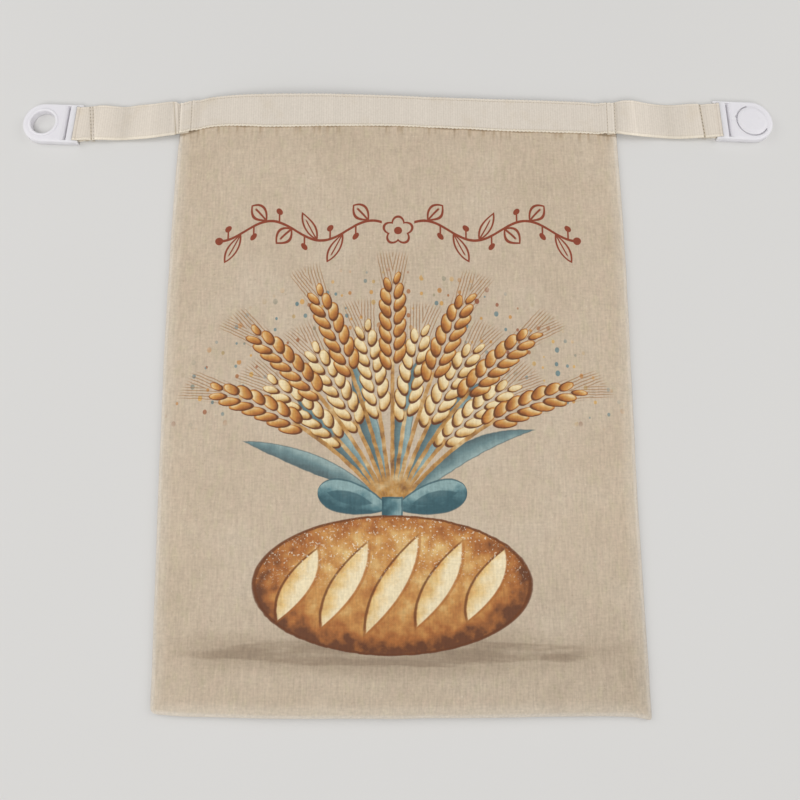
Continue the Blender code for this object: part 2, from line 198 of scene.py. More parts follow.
# Edges of the band: x, y of the upper edge, y of the lower edge
BAND_ROWS = (
    (-0.1500, 0.1978, 0.1763),
    (-0.1450, 0.1995, 0.1772),
    (-0.1318, 0.2032, 0.1810),
    (-0.1177, 0.2041, 0.1816),
    (-0.1037, 0.2041, 0.1806),
    (-0.0897, 0.2039, 0.1795),
    (-0.0700, 0.2039, 0.1793),
    (-0.0486, 0.2039, 0.1798),
    (-0.0212, 0.2038, 0.1806),
    (-0.0075, 0.2036, 0.1808),
    (0.0062, 0.2032, 0.1806),
    (0.0200, 0.2027, 0.1800),
    (0.0475, 0.2021, 0.1791),
    (0.0613, 0.2017, 0.1784),
    (0.0751, 0.2015, 0.1778),
    (0.1027, 0.2010, 0.1774),
    (0.1305, 0.2003, 0.1771),
    (0.1437, 0.1990, 0.1762),
    (0.1499, 0.1986, 0.1759),
)
# Fine unevenness of the band: height, how far its lumps stretch, their size, seed
BAND_SWELLS = (
    (0.00010, 1.0, 0.009, 41),
    (0.00012, 0.3, 0.022, 42),
)
# Rows of stitches across the band: x, depth of the trough that they pull
BAND_STITCH_COLUMNS = (
    (-0.1491, 0.00030),
    (-0.1413, 0.00018),
    (0.1438, 0.00020),
    (0.1490, 0.00034),
)
# Ridges across the band beside its end stitches: x, height
BAND_RIDGES = (
    (-0.1480, 0.00040),
    (-0.1400, 0.00015),
    (0.1450, 0.00015),
    (0.1478, 0.00020),
)
# Rows of stitches along the band, as places across it, and how far in they start
BAND_STITCH_ROWS = (0.0099, -0.0108)
BAND_STITCH_START = 0.0020
BAND_ROW_DIP = 0.00012
BAND_ROW_WIDTH = 0.0006

# Threads, and the places across a webbing between which a column of stitches runs
THREAD = 0.00042
STITCH_LENGTH = 0.0016
STITCH_PITCH = 0.0025
BAND_STITCH_SPAN = (-0.0100, 0.0095)
TAIL_STITCH_SPAN = (-0.0105, 0.0105)
LOOSE_FIBRES = 26
BAND_THREAD_SEED = 7

# Doubled tails: their two layers, and the front selvedge that droops where they stand apart
LAYER_SPACE = 0.6
LAYER_SHIFT = 0.0012
DROOP = 0.0009
DROOP_FROM = 0.0100
DROOP_WIDTH = 0.0025
DROOP_SPACE = 0.0006
# Small waves, which calm down at the bar, and how far the rows of stitches lean
WAVE = 0.00010
WAVE_SIZE = 0.008
WAVE_STRETCH = 0.010
CALM_X = 0.2205
CALM_REACH = 0.004
LEAN = 0.10
# Painted light and shade: the upper layer is painted lighter where it stands far from the lower
# one
SWELL_FROM = 0.0012
SWELL_PAINTED_LIGHT = 80
SWELL_LIMITS = (-0.07, 0.10)
# Path through both layers, and the narrower lower layer at the bar
PATH_STEP = 0.0002
PATH_BLEND = 0.020
PATH_SMOOTHED = 9
LOOP_POINTS = 40
UNDER_WIDTH = LOOP_WIDTH - 0.0003
UNDER_BLEND = 0.003
UNDER_BELOW = 0.0036
UNDER_FADE = 0.0015
# Tails: x, y, height of the lower layer's middle, extra space between the layers, width
LEFT_TAIL_ROWS = (
    (ROOT_LEFT_END, 0.1890, 0.0036, 0.0000, 0.0216),
    (-0.1460, 0.1884, 0.0036, 0.0000, 0.0218),
    (-0.1500, 0.1880, 0.0036, 0.0001, 0.0222),
    (-0.1535, 0.1883, 0.0033, 0.0010, 0.0244),
    (-0.1570, 0.1882, 0.0030, 0.0006, 0.0248),
    (-0.1640, 0.1876, 0.0018, 0.0014, 0.0251),
    (-0.1730, 0.1868, 0.0010, 0.0021, 0.0252),
    (-0.1810, 0.1863, 0.0008, 0.0015, 0.0250),
    (-0.1880, 0.1858, 0.0008, 0.0004, 0.0246),
    (-0.1955, 0.1857, 0.0008, 0.0014, 0.0249),
    (-0.2030, 0.1859, 0.0008, 0.0024, 0.0254),
    (-0.2075, 0.1859, 0.0008, 0.0020, 0.0255),
    (-0.2095, 0.1858, 0.0008, 0.0010, 0.0254),
    (-0.2125, 0.1857, 0.0008, 0.0014, 0.0248),
    (-0.2155, 0.1851, 0.0008, 0.0022, 0.0247),
)
RIGHT_TAIL_ROWS = (
    (ROOT_RIGHT_END, 0.1876, 0.0036, 0.0000, 0.0220),
    (0.1470, 0.1880, 0.0036, 0.0000, 0.0222),
    (0.1502, 0.1886, 0.0036, 0.0004, 0.0228),
    (0.1560, 0.1887, 0.0032, 0.0014, 0.0250),
    (0.1630, 0.1882, 0.0024, 0.0026, 0.0256),
    (0.1700, 0.1879, 0.0014, 0.0022, 0.0250),
    (0.1780, 0.1875, 0.0008, 0.0014, 0.0246),
    (0.1860, 0.1871, 0.0008, 0.0005, 0.0246),
    (0.1940, 0.1869, 0.0008, 0.0008, 0.0250),
    (0.2020, 0.1871, 0.0008, 0.0016, 0.0254),
    (0.2080, 0.1873, 0.0008, 0.0018, 0.0251),
    (0.2110, 0.1874, 0.0008, 0.0008, 0.0247),
    (0.2150, 0.1876, 0.0008, 0.0018, 0.0247),
)

# Snap buckle, along u from the end of its rails to the tip of its round head
BUCKLE_T = 0.0050
BUCKLE_HALF_WIDTH = 0.0140
HEAD_U = 0.0270
HEAD_RADIUS = 0.0140
RAIL_START = 0.0016
RAIL_T = 0.0014
RAIL_DROP = 0.0008
LOOP_BAR_U = 0.0040
LOOP_BAR_RADIUS = 0.0012
LOOP_BAR_Z = 0.0029
LOOP_PLAY = 0.0002
LOOP_RADIUS = LOOP_BAR_RADIUS + LOOP_PLAY + WEB_T / 2
NOTCH_CLEARANCE = 0.0001
RAIL_SLOPE_END = 0.0064
FREE_SLOT_START = 0.0098
FREE_SLOT_END = 0.0113
SOCKET_RADIUS = 0.0084
LIP_RADIUS = 0.0098
LIP_HEIGHT = 0.0006
BUTTON_RADIUS = 0.0102
# Profile of the button's rim: how far in, height over the plate
BUTTON_RIM = (
    (0.0000, 0.00005),
    (0.0004, 0.00028),
    (0.0018, 0.00054),
    (0.0021, 0.00060),
)
GROOVE_WIDTH = 0.0009
GROOVE_DEPTH = 0.0020
GROOVE_START = 104.0
GROOVE_END = 330.0
CUT_OVER = 0.0010
SLOPE_OVER = 0.0001
RIM_ROUND = 0.0011
FOOT_ROUND = 0.0003
HUG_END = 52
SLOT_EASE = 0.0030
SLOT_DIP = 0.0026
SLOT_ROUND = 0.0005
LIP_ROUND = 0.0008
LIP_OVERLAP = 0.0005
SOCKET_ROUND = 0.0007
GROOVE_POINTS = 80
GROOVE_NOTCH = (160, 172)
GROOVE_NOTCH_DEPTH = 0.0007
SHARP_ANGLE = 32

# Both sides. A buckle half is given by its x, y, heading and how far its slots lean. The
# valleys and ridges across a tail are x and depth or height, with the stitched valleys first.
LEFT = SimpleNamespace(
    name="left",
    rows=LEFT_TAIL_ROWS,
    buckle=(-0.2163, 0.1843, 177.8, -3.2),
    valleys=((-0.2112, 0.00028), (-0.2094, 0.00024), (-0.1528, 0.00024)),
    ridges=((-0.2080, 0.00030), (-0.1511, 0.00045)),
    stitched=2,
    seed=51,
    thread_seed=71,
)
RIGHT = SimpleNamespace(
    name="right",
    rows=RIGHT_TAIL_ROWS,
    buckle=(0.2170, 0.1876, -2.5, 5.9),
    valleys=((0.2100, 0.00042),),
    ridges=((0.2084, 0.00022), (0.1630, 0.00020)),
    stitched=1,
    seed=61,
    thread_seed=72,
)

# Colours on a screen, 0 to 255
CANVAS = (201, 183, 160)
CANVAS_PALE = (214, 200, 180)
CANVAS_DEEP = (186, 168, 144)
CANVAS_PINK = (206, 182, 162)
CANVAS_GREEN = (196, 186, 152)
FLECK_DARK = (170, 150, 124)
FLECK_PALE = (226, 214, 196)
RIM_WORN_SHEEN = (216, 204, 186)
RIM_PALE_SHEEN = (232, 223, 210)
GATHER_SHADE = (164, 140, 110)
BAND_SHADE = (140, 116, 86)
WEB = (222, 212, 199)
RIB_SHADE = (196, 184, 166)
SELVEDGE_PALE_HIGHLIGHT = (243, 233, 213)
SELVEDGE_LINE = (198, 185, 164)
WEB_TROUGH_SHADE = (196, 180, 152)
WEB_DEEP = (208, 194, 172)
NEEDLE_HOLE_SHADE = (126, 106, 82)
PLASTIC = (233, 231, 235)
PLASTIC_HAZE = (222, 221, 225)
CREAM_THREAD = (214, 202, 182)
TABLE = (222, 221, 219)
RUST = (136, 50, 18)
TEAL = (92, 128, 134)
TEAL_DARK = (58, 92, 100)
TEAL_LIGHT = (142, 170, 170)
STRAW = (190, 140, 72)
GOLD = (196, 134, 56)
CREAM_INK = (236, 214, 166)
PALE_INK = (244, 228, 190)
BROWN_INK = (104, 56, 24)
CRUST = (172, 104, 46)
WASH = (158, 138, 114)
WASH_DARK = (132, 110, 88)
STRAW_LIGHT = (214, 168, 88)
BRISTLE = (156, 104, 52)
EAR_PALE = (206, 160, 92)
EAR_DEEP = (208, 152, 78)
CRUST_MID = (202, 144, 76)
CRUST_LIGHT = (228, 190, 124)
CRUMB_DARK = (206, 140, 62)
CRUMB = (232, 198, 134)
FLOUR = (246, 236, 212)

# Places, sizes and angles of the parts of the print, in millimetres and degrees
VINE_CENTRE = (0.5, 105.0)
VINE_PITCH = 17.0
VINE_LEAVES = 6
VINE_SWING = 7.0
VINE_LEAF = (19.0, 9.0)
VINE_LEAF_LEAN = 56
SHEAF_TIE = (-3.0, -83.0)
SHEAF_REACH = 152.0
EAR_SPREAD = 19.0
GRAIN_PITCH = 8.6
GRAINS = 7
GRAIN_HALF = (7.4, 3.5)
GRAIN_OFF = 4.8
GRAIN_LEAN = 25
BLADE_SPREAD = 28.0
BLADE_START = 10.0
BLADE_SIZE = (96.0, 12.0)
BOW_LENGTH = 45.0
BOW_LEAN = 14
# Specks: where they begin and end, out from the tie and up from it, and their spacing
SPECK_INNER = (112.0, 128.0)
SPECK_OUTER = (168.0, 152.0)
SPECK_LOWEST = (50.0, 70.0)
SPECK_SPACING = (6.5, 8.0)
LOAF_CENTRE = (-3.0, -125.0)
LOAF_HALF = (86.0, 42.0)
SCORE_PITCH = 29.0
SCORE_SLOPE = 0.55
GROUND_Y = -165.0
WASH_HALF = (138.0, 17.0)
STROKE_HALF = 8.0
STROKE_FRAY = 14.0
# The cloth darkens between two heights, in millimetres, and more to the right
FOOT_SHADE_SPAN = (-80.0, -200.0)
FOOT_SHADE = 0.085
FOOT_SHADE_SLOPE = 0.0003
WEAVE_PITCH = 0.62
WEB_THREAD_PITCH = 0.45
TWIST_PITCH = 0.5

# Table, room and lights: name, place, size, power
TABLE_Z = -0.0001
TABLE_HALF = 3.0
ROOM_LIGHT = 0.40
LIGHT_COLOUR = (1.0, 0.995, 0.988)
LIGHTS = (
    ("soft_left", (-1.05, 0.45, 0.9), 0.9, 3.6),
    ("soft_right", (1.05, 0.45, 0.9), 0.9, 3.5),
    ("soft_front", (-0.35, -2.3, 3.3), 2.6, 75.0),
)
# Camera: the point it looks at, distance, tilt from straight down, lens
LOOK_AT = (0.0018, -0.0081, 0.0)
CAMERA_DISTANCE = 0.5519
CAMERA_TILT = 10.9
LENS = 38.25
SENSOR = 36.0


def srgb(red, green, blue):
    """A screen colour, 0 to 255, as linear light."""
    values = []
    for part in (red, green, blue):
        part = part / 255
        values.append(part / 12.92 if part <= 0.04045 else ((part + 0.055) / 1.055) ** 2.4)
    return tuple(values)


def smooth(rows, key, column):
    """Read one column of a table at every key, as a smooth curve through its rows."""
    table = np.array(rows)
    xs, ys = table[:, 0], table[:, column]
    key = np.clip(key, xs[0], xs[-1])
    low = np.clip(np.searchsorted(xs, key, side="right") - 1, 0, len(xs) - 2)
    before, after = np.maximum(low - 1, 0), np.minimum(low + 2, len(xs) - 1)
    span = xs[low + 1] - xs[low]
    t = (key - xs[low]) / span
    slope_start = (ys[low + 1] - ys[before]) / (xs[low + 1] - xs[before]) * span
    slope_end = (ys[after] - ys[low]) / (xs[after] - xs[low]) * span
    return (
        (2 * t**3 - 3 * t**2 + 1) * ys[low]
        + (t**3 - 2 * t**2 + t) * slope_start
        + (-2 * t**3 + 3 * t**2) * ys[low + 1]
        + (t**3 - t**2) * slope_end
    )


def ease(value):
    """Go smoothly from 0 to 1."""
    value = np.clip(value, 0.0, 1.0)
    return value * value * (3 - 2 * value)


def bell(offset, width):
    """1 where the offset is 0, falling smoothly to 0 over a few widths."""
    return np.exp(-((offset / width) ** 2))


def fading(distance, reach):
    """1 at no distance, falling quickly at first and then slowly to 0."""
    return np.exp(-distance / reach)


def lumps(x, y, size, seed):
    """Smooth random heights from -1 to 1, with lumps of about the given size."""
    lattice = np.random.default_rng(seed).uniform(-1, 1, (64, 64))
    gx, gy = np.asarray(x) / size + 500.0, np.asarray(y) / size + 500.0
    ix, iy = np.floor(gx).astype(int), np.floor(gy).astype(int)
    fx, fy = ease(gx - ix), ease(gy - iy)
    corner = [lattice[(ix + i) % 64, (iy + j) % 64] for i in (0, 1) for j in (0, 1)]
    low = corner[0] * (1 - fy) + corner[1] * fy
    high = corner[2] * (1 - fy) + corner[3] * fy
    return low * (1 - fx) + high * fx


# Outline and heights of the bag

def bottom_y(x):
    return smooth(BOTTOM_ROWS, x, 1)


def mouth_y(x):
    """The mouth edge, kept just under the band's upper edge."""
    return np.minimum(smooth(MOUTH_ROWS, x, 1), band_top(x) - MOUTH_UNDER)


def corner_inset(height, radius):
    """How far a rounded bottom corner pulls the side in at a height above the seam."""
    missing = radius - np.clip(height, 0.0, radius)
    return radius - np.sqrt(radius**2 - missing**2)


def left_x(y):
    edge = smooth(SIDE_ROWS, y, 1)
    return edge + corner_inset(y - bottom_y(edge), CORNER_LEFT)


def right_x(y):
    edge = smooth(SIDE_ROWS, y, 2)
    return edge - corner_inset(y - bottom_y(edge), CORNER_RIGHT)


def rolled(distance, width=ROLL_WIDTH):
    """Share of the crown reached at a distance from a seam: a quarter of an ellipse."""
    left = 1 - np.clip(distance, 0.0, width) / width
    return np.sqrt(1 - left * left)


def side_distance(x, y):
    return np.minimum(x - left_x(y), right_x(y) - x)


def foot_distance(x, y):
    return y - bottom_y(x)


def seam_distance(x, y):
    """Distance from the nearest sewn edge."""
    return np.minimum(side_distance(x, y), foot_distance(x, y))


def front_height(x, y):
    """Height of the front panel's outer face, without its small folds."""
    left, right = left_x(y), right_x(y)
    across = np.abs(x - (left + right) / 2) / ((right - left) / 2)
    height = SIDE_CROWN + (MID_CROWN - SIDE_CROWN) * (1 - across**CROWN_POWER)
    for at_x, at_y, wide, tall, rise in DIMPLES:
        height = height + rise * np.exp(-(((x - at_x) / wide) ** 2 + ((y - at_y) / tall) ** 2))
    near_mouth = ease(1 - (mouth_y(x) - y - FLAT_BELOW_MOUTH) / MOUTH_BLEND)
    height = height + (smooth(MOUTH_ROWS, x, 2) - height) * near_mouth
    share = rolled(x - left) * rolled(right - x) * rolled(y - bottom_y(x))
    return SEAM_Z + (height - SEAM_Z) * share


def crease(x, y, start_x, start_y, end_x, end_y, half_width, rise):
    """A soft trough or ridge along a short line."""
    dx, dy = end_x - start_x, end_y - start_y
    length = math.hypot(dx, dy)
    along = ((x - start_x) * dx + (y - start_y) * dy) / length
    off = ((x - start_x) * dy - (y - start_y) * dx) / length
    fade = ease(1 - np.abs(along / length - 0.5) * 2)
    return rise * fade * bell(off, half_width)


def small_folds(x, y):
    """Fine unevenness of the front: swells, creases and the pucker along the seams."""
    height = 0.0
    for rise, size, seed in SWELLS:
        height = height + rise * lumps(x, y, size, seed)
    for row in CREASES:
        height = height + crease(x, y, *row)
    side, foot = side_distance(x, y), foot_distance(x, y)
    pucker = lumps(y, x * PUCKER_STRETCH, *SIDE_PUCKER) * fading(side, PUCKER_REACH)
    pucker = pucker + lumps(x, y * PUCKER_STRETCH, *FOOT_PUCKER) * fading(foot, PUCKER_REACH)
    low = band_low(x)
    pull = bell(low - PULL_BELOW - y, PULL_WIDTH)
    gather = lumps(x, y * GATHER_STRETCH, *GATHER_LUMPS) * fading(np.abs(low - y), GATHER_REACH)
    calm = rolled(side, CALM_WIDTH) * rolled(foot, CALM_WIDTH)
    return (height + PUCKER * pucker - PULL * pull + GATHER * gather) * calm


# Meshes

def new_object(name, data):
    """An object in the scene for a mesh, a light or a camera."""
    made = bpy.data.objects.new(name, data)
    bpy.context.scene.collection.objects.link(made)
    return made


def finish_mesh(name, points, faces, attributes):
    """Make an object from points and faces, with float attributes on its points."""
    mesh = bpy.data.meshes.new(name)
    mesh.from_pydata(points, [], faces)
    for key, values in attributes:
        layer = mesh.attributes.new(key, "FLOAT", "POINT")
        layer.data.foreach_set("value", np.asarray(values, np.float32).ravel())
    mesh.shade_smooth()
    return new_object(name, mesh)


def unit(vectors):
    """Vectors along the last axis, scaled to length 1."""
    return vectors / np.linalg.norm(vectors, axis=-1, keepdims=True)


def grid_normals(grid):
    """Unit normals of a grid of points."""
    return unit(np.cross(np.gradient(grid, axis=0), np.gradient(grid, axis=1)))


def closed_shell(name, top, bottom, attributes=()):
    """A closed sheet between two grids of points of the same size."""
    n, m = top.shape[:2]
    index = np.arange(n * m).reshape(n, m)
    under = index + n * m

    def quads(a, b, c, d):
        return np.stack([a.ravel(), b.ravel(), c.ravel(), d.ravel()], axis=1)

    faces = [
        quads(index[:-1, :-1], index[:-1, 1:], index[1:, 1:], index[1:, :-1]),
        quads(under[:-1, :-1], under[1:, :-1], under[1:, 1:], under[:-1, 1:]),
        quads(index[0, 1:], index[0, :-1], under[0, :-1], under[0, 1:]),
        quads(index[-1, :-1], index[-1, 1:], under[-1, 1:], under[-1, :-1]),
        quads(index[:-1, 0], index[1:, 0], under[1:, 0], under[:-1, 0]),
        quads(index[1:, -1], index[:-1, -1], under[:-1, -1], under[1:, -1]),
    ]
    points = np.concatenate([top.reshape(-1, 3), bottom.reshape(-1, 3)])
    doubled = [(key, np.concatenate([np.ravel(v), np.ravel(v)])) for key, v in attributes]
    return finish_mesh(name, points.tolist(), np.concatenate(faces).tolist(), doubled)


def cloth_grid(step):
    """Points of a grid over the bag's outline, close together near the sewn edges."""
    turn = np.linspace(0, math.pi / 2, ROLL_STEPS + 1)
    near = ROLL_WIDTH * (1 - np.cos(turn))
    middle = np.linspace(0, 1, int((CLOTH_WIDTH - 2 * ROLL_WIDTH) / step))[1:-1]
    share = np.concatenate([near * 0, middle, near * 0 + 1])
    offset = np.concatenate([near, ROLL_WIDTH * (1 - 2 * middle), -near[::-1]])
    rising = np.linspace(ROLL_WIDTH / CLOTH_LENGTH, 1, int(CLOTH_LENGTH / step))[1:]
    up = np.concatenate([near / CLOTH_LENGTH, rising])
    share, up = np.meshgrid(share, up)
    offset = np.broadcast_to(offset, share.shape)
    y = bottom_y(0.0) + CLOTH_LENGTH * up
    # The sides depend on y and the ends on x, so both settle over a few rounds
    for _ in range(4):
        x = left_x(y) * (1 - share) + right_x(y) * share + offset
        y = bottom_y(x) + (mouth_y(x) - bottom_y(x)) * up
    return x, y


def edge_wobble(x, y):
    """Small unevenness of the sewn outline, the same on both panels."""
    shift_x = WOBBLE * lumps(y, y * 0, *SIDE_WOBBLE) * fading(side_distance(x, y), WOBBLE_REACH)
    shift_y = WOBBLE * lumps(x, x * 0, *FOOT_WOBBLE) * fading(foot_distance(x, y), WOBBLE_REACH)
    return x + shift_x, y + shift_y


def build_front_cloth():
    """The printed front panel with its rolled edges and small folds."""
    x, y = cloth_grid(CLOTH_STEP)
    z = front_height(x, y) + small_folds(x, y)
    distance = seam_distance(x, y)
    wx, wy = edge_wobble(x, y)
    tuck = TUCK * fading(distance, TUCK_WIDTH)
    top = np.stack([wx, wy, z - tuck], axis=2)
    normal = grid_normals(top)
    inner = top - normal * CLOTH_T
    inner[..., 2] = np.maximum(inner[..., 2], INSIDE_LOWEST)
    below = band_low(x) - y
    return closed_shell("front_cloth", top, inner, [("rim", distance), ("below_band", below)])


def build_back_cloth():
    """The plain back panel: flat on the table, its sewn edges turned up to the front."""
    x, y = cloth_grid(BACK_STEP)
    distance = seam_distance(x, y)
    curl = CURL * (1 - rolled(distance, CURL_WIDTH))
    wx, wy = edge_wobble(x, y)
    from_mouth = mouth_y(x) - y
    wy = wy - BACK_SETBACK * fading(np.maximum(from_mouth, 0), SETBACK_REACH)
    hem = HEM_STEP * ease((HEM_WIDTH - from_mouth) / HEM_SLOPE)
    hem = hem * rolled(x - left_x(y), HEM_END) * rolled(right_x(y) - x, HEM_END)
    dimple = BACK_DIMPLE * lumps(x, y, *BACK_LUMPS)
    bottom = np.stack([wx, wy, curl], axis=2)
    top = np.stack([wx, wy, curl + CLOTH_T + BACK_LIFT + hem + dimple], axis=2)
    return closed_shell("back_cloth", top, bottom)


def webbing_profile(across):
    """Half thickness across a webbing, as a share, with rounded selvedges."""
    from_edge = (1 - np.abs(across)) * WEB_WIDTH / 2
    curve = np.sqrt(1 - np.clip(1 - from_edge / SELVEDGE_ROUND, 0, 1) ** 2)
    return curve * (1 - SELVEDGE_LEFT) + SELVEDGE_LEFT


def webbing(name, middle, normal, along, across, tone, seam):
    """A ribbed webbing about a grid of middle points; rows run along it.

    The tone is painted light and shade: it lightens its ridges and darkens its troughs; the
    seam marks columns of stitches.
    """
    rib = np.abs(np.cos(math.pi * along / RIB_PITCH))[:, None]
    from_edge = ((1 - np.abs(across)) * WEB_WIDTH / 2)[None, :]
    edge = bell(from_edge - SELVEDGE_ROUND, SELVEDGE_ROUND)
    bump = SELVEDGE_SWELL * edge * (0.5 + np.cos(2 * math.pi * along / RIB_PITCH))[:, None]
    inside = ease(from_edge / SELVEDGE)
    half = WEB_T / 2 * webbing_profile(across)[None, :] - RIB_HEIGHT
    half = half + RIB_HEIGHT * rib * inside
    top = middle + normal * (half + bump)[..., None]
    bottom = middle - normal * half[..., None]
    u = np.broadcast_to(along[:, None], half.shape)
    v = np.broadcast_to(across[None, :] * WEB_WIDTH / 2, half.shape)
    fields = [("along", u), ("across", v), ("tone", tone), ("seam", seam)]
    made = closed_shell(name, top, bottom, fields)
    shape = bmesh.new()
    shape.from_mesh(made.data)
    bmesh.ops.recalc_face_normals(shape, faces=shape.faces[:])
    shape.to_mesh(made.data)
    shape.free()
    return made


def webbing_columns():
    """Places across a webbing, closer together at its selvedges, from -1 to 1."""
    edge = 1 - np.array([0.0, 0.15, 0.35, 0.6, 0.9, 1.4]) * MM / (WEB_WIDTH / 2)
    inner = np.linspace(-edge[-1], edge[-1], 9)[1:-1]
    return np.concatenate([-edge, inner, edge[::-1]])


def band_top(x):
    return smooth(BAND_ROWS, x, 1)


def band_low(x):
    return smooth(BAND_ROWS, x, 2)


def band_y(x, v):
    """Where a place across the band lies; v runs from its lower to its upper edge."""
    return band_low(x) + (v / WEB_WIDTH + 0.5) * (band_top(x) - band_low(x))


def band_rise(x):
    """How far the band's ends stand up over the doubled tails tucked under them."""
    doubled = 2 * WEB_T + 3 * GAP
    left = ease(1 - (x - ROOT_LEFT_END) / ROOT_SLOPE)
    right = ease(1 - (ROOT_RIGHT_END - x) / ROOT_SLOPE)
    return doubled * np.maximum(left, right)


def relief(x, valleys, ridges):
    """Height of the troughs and ridges that run across a webbing."""
    z = 0.0
    for at_x, depth in valleys:
        z = z - depth * bell(x - at_x, TROUGH_WIDTH)
    for at_x, height in ridges:
        z = z + height * bell(x - at_x, RIDGE_WIDTH)
    return z


def band_relief(x):
    return relief(x, BAND_STITCH_COLUMNS, BAND_RIDGES)


def nearness(x, columns):
    """1 on a deep column of stitches, falling to 0 beside it."""
    near = 0.0
    for at_x, depth in columns:
        pull = min(depth / DEEP_TROUGH, 1.0)
        near = np.maximum(near, pull * bell(x - at_x, SEAM_WIDTH))
    return near


def band_surface(x, y):
    """Height of the band's middle layer."""
    under = front_height(x, np.minimum(y, mouth_y(x)))
    z = under + GAP + WEB_T / 2 + band_rise(x)
    z = z + band_relief(x)
    z = z - BAND_ROW_DIP * bell(y - band_y(x, BAND_STITCH_ROWS[0]), BAND_ROW_WIDTH)
    for rise, stretch, size, seed in BAND_SWELLS:
        z = z + rise * lumps(x, y * stretch, size, seed)
    return z


def build_front_band():
    """The webbing band sewn along the mouth."""
    step = RIB_PITCH / RIB_SAMPLES
    x = np.arange(BAND_LEFT_END, BAND_RIGHT_END + step / 2, step)
    across = webbing_columns()
    gx, gs = np.meshgrid(x, across, indexing="ij")
    sway = SWAY * lumps(gx, gx * 0, *BAND_SWAY)
    gy = band_y(gx, gs * WEB_WIDTH / 2) + sway
    gy = gy + SCALLOP * gs**9 * np.cos(2 * math.pi * gx / SCALLOP_PITCH)
    middle = np.stack([gx, gy, band_surface(gx, gy)], axis=2)
    normal = grid_normals(middle)
    # Painted light and shade: the band's ridges lighter, its stitched troughs darker
    tone = band_relief(gx) * PAINTED_SHADE_PER_METRE
    seam = nearness(gx, BAND_STITCH_COLUMNS)
    return webbing("front_band_webbing", middle, normal, x - BAND_LEFT_END, across, tone, seam)


def buckle_frame(side):
    """Matrix from a buckle half's own axes to the bag: +X runs to the round head."""
    x, y, heading, lean = side.buckle
    slanted = Matrix.Identity(4)
    slanted[0][1] = -math.tan(math.radians(lean))
    turn = Matrix.Rotation(math.radians(heading), 4, "Z")
    return Matrix.Translation((x, y, 0.0)) @ turn @ slanted


def resampled(points, step):
    """The points of a path, evenly spaced and slightly smoothed, and their places along it."""
    length = np.concatenate([[0], np.cumsum(np.linalg.norm(np.diff(points, axis=0), axis=1))])
    along = np.arange(0, length[-1], step)
    even = np.stack([np.interp(along, length, points[:, k]) for k in range(3)], axis=1)
    kernel = np.hanning(PATH_SMOOTHED)
    kernel = kernel / kernel.sum()
    reach = PATH_SMOOTHED // 2
    padded = np.pad(even, ((reach, reach), (0, 0)), mode="edge")
    soft = np.stack([np.convolve(padded[:, k], kernel, "valid") for k in range(3)], axis=1)
    soft[:reach + 1], soft[-reach - 1:] = even[:reach + 1], even[-reach - 1:]
    return soft, along


def tail_path(side):
    """A tail's middle line, out over the buckle's bar and back, and what goes with its points.

    The share is 0 at the root and 1 at the buckle; the space is the room between the layers.
    """
    sign = math.copysign(1, side.rows[0][0])
    rows = [(sign * row[0], *row[1:]) for row in side.rows]
    root, last = rows[0][0], rows[-1][0]
    own = buckle_frame(side).to_3x3()
    bar = np.array(buckle_frame(side) @ Vector((LOOP_BAR_U, 0.0, LOOP_BAR_Z)))
    between = 2 * LOOP_RADIUS - WEB_T - GAP
    to_bar = rows + [(sign * bar[0], bar[1], bar[2] - LOOP_RADIUS, between, LOOP_WIDTH)]
    keys = np.arange(root, sign * bar[0], PATH_STEP)
    y, lower, gap = (smooth(to_bar, keys, column) for column in (1, 2, 3))
    up = np.stack([sign * keys, y, lower + WEB_T + GAP + gap * LAYER_SPACE], axis=1)
    back = ease((sign * bar[0] - keys) / PATH_BLEND) * ease((keys - root) / PATH_BLEND)
    down = np.stack([sign * keys, y + LAYER_SHIFT * back, lower], axis=1)
    turn = np.linspace(math.pi / 2, -math.pi / 2, LOOP_POINTS)[:, None]
    ahead = np.array(own @ Vector((1, 0, 0)))
    loop = bar + LOOP_RADIUS * (np.cos(turn) * ahead + np.sin(turn) * np.array([0, 0, 1]))
    points, along = resampled(np.concatenate([up, loop, down[::-1]]), RIB_PITCH / RIB_SAMPLES)
    out = sign * points[:, 0]
    share = np.clip((out - root) / (last - root), 0, 1)
    width = smooth(rows, out, 4)
    under = ease((out - last) / UNDER_BLEND) * ease((UNDER_BELOW - points[:, 2]) / UNDER_FADE)
    width = width + (UNDER_WIDTH - width) * under
    upper = np.arange(len(out)) < len(out) / 2
    width = np.where(upper, width, np.minimum(width, UNDER_WIDTH))
    slot_way = np.array((own @ Vector((0, 1, 0))).normalized())
    return SimpleNamespace(
        points=points, along=along, out=out, share=share[:, None], width=width[:, None],
        space=smooth(rows, out, 3)[:, None], upper=upper[:, None], sign=sign,
        slot_way=slot_way * np.sign(slot_way[1]),
    )


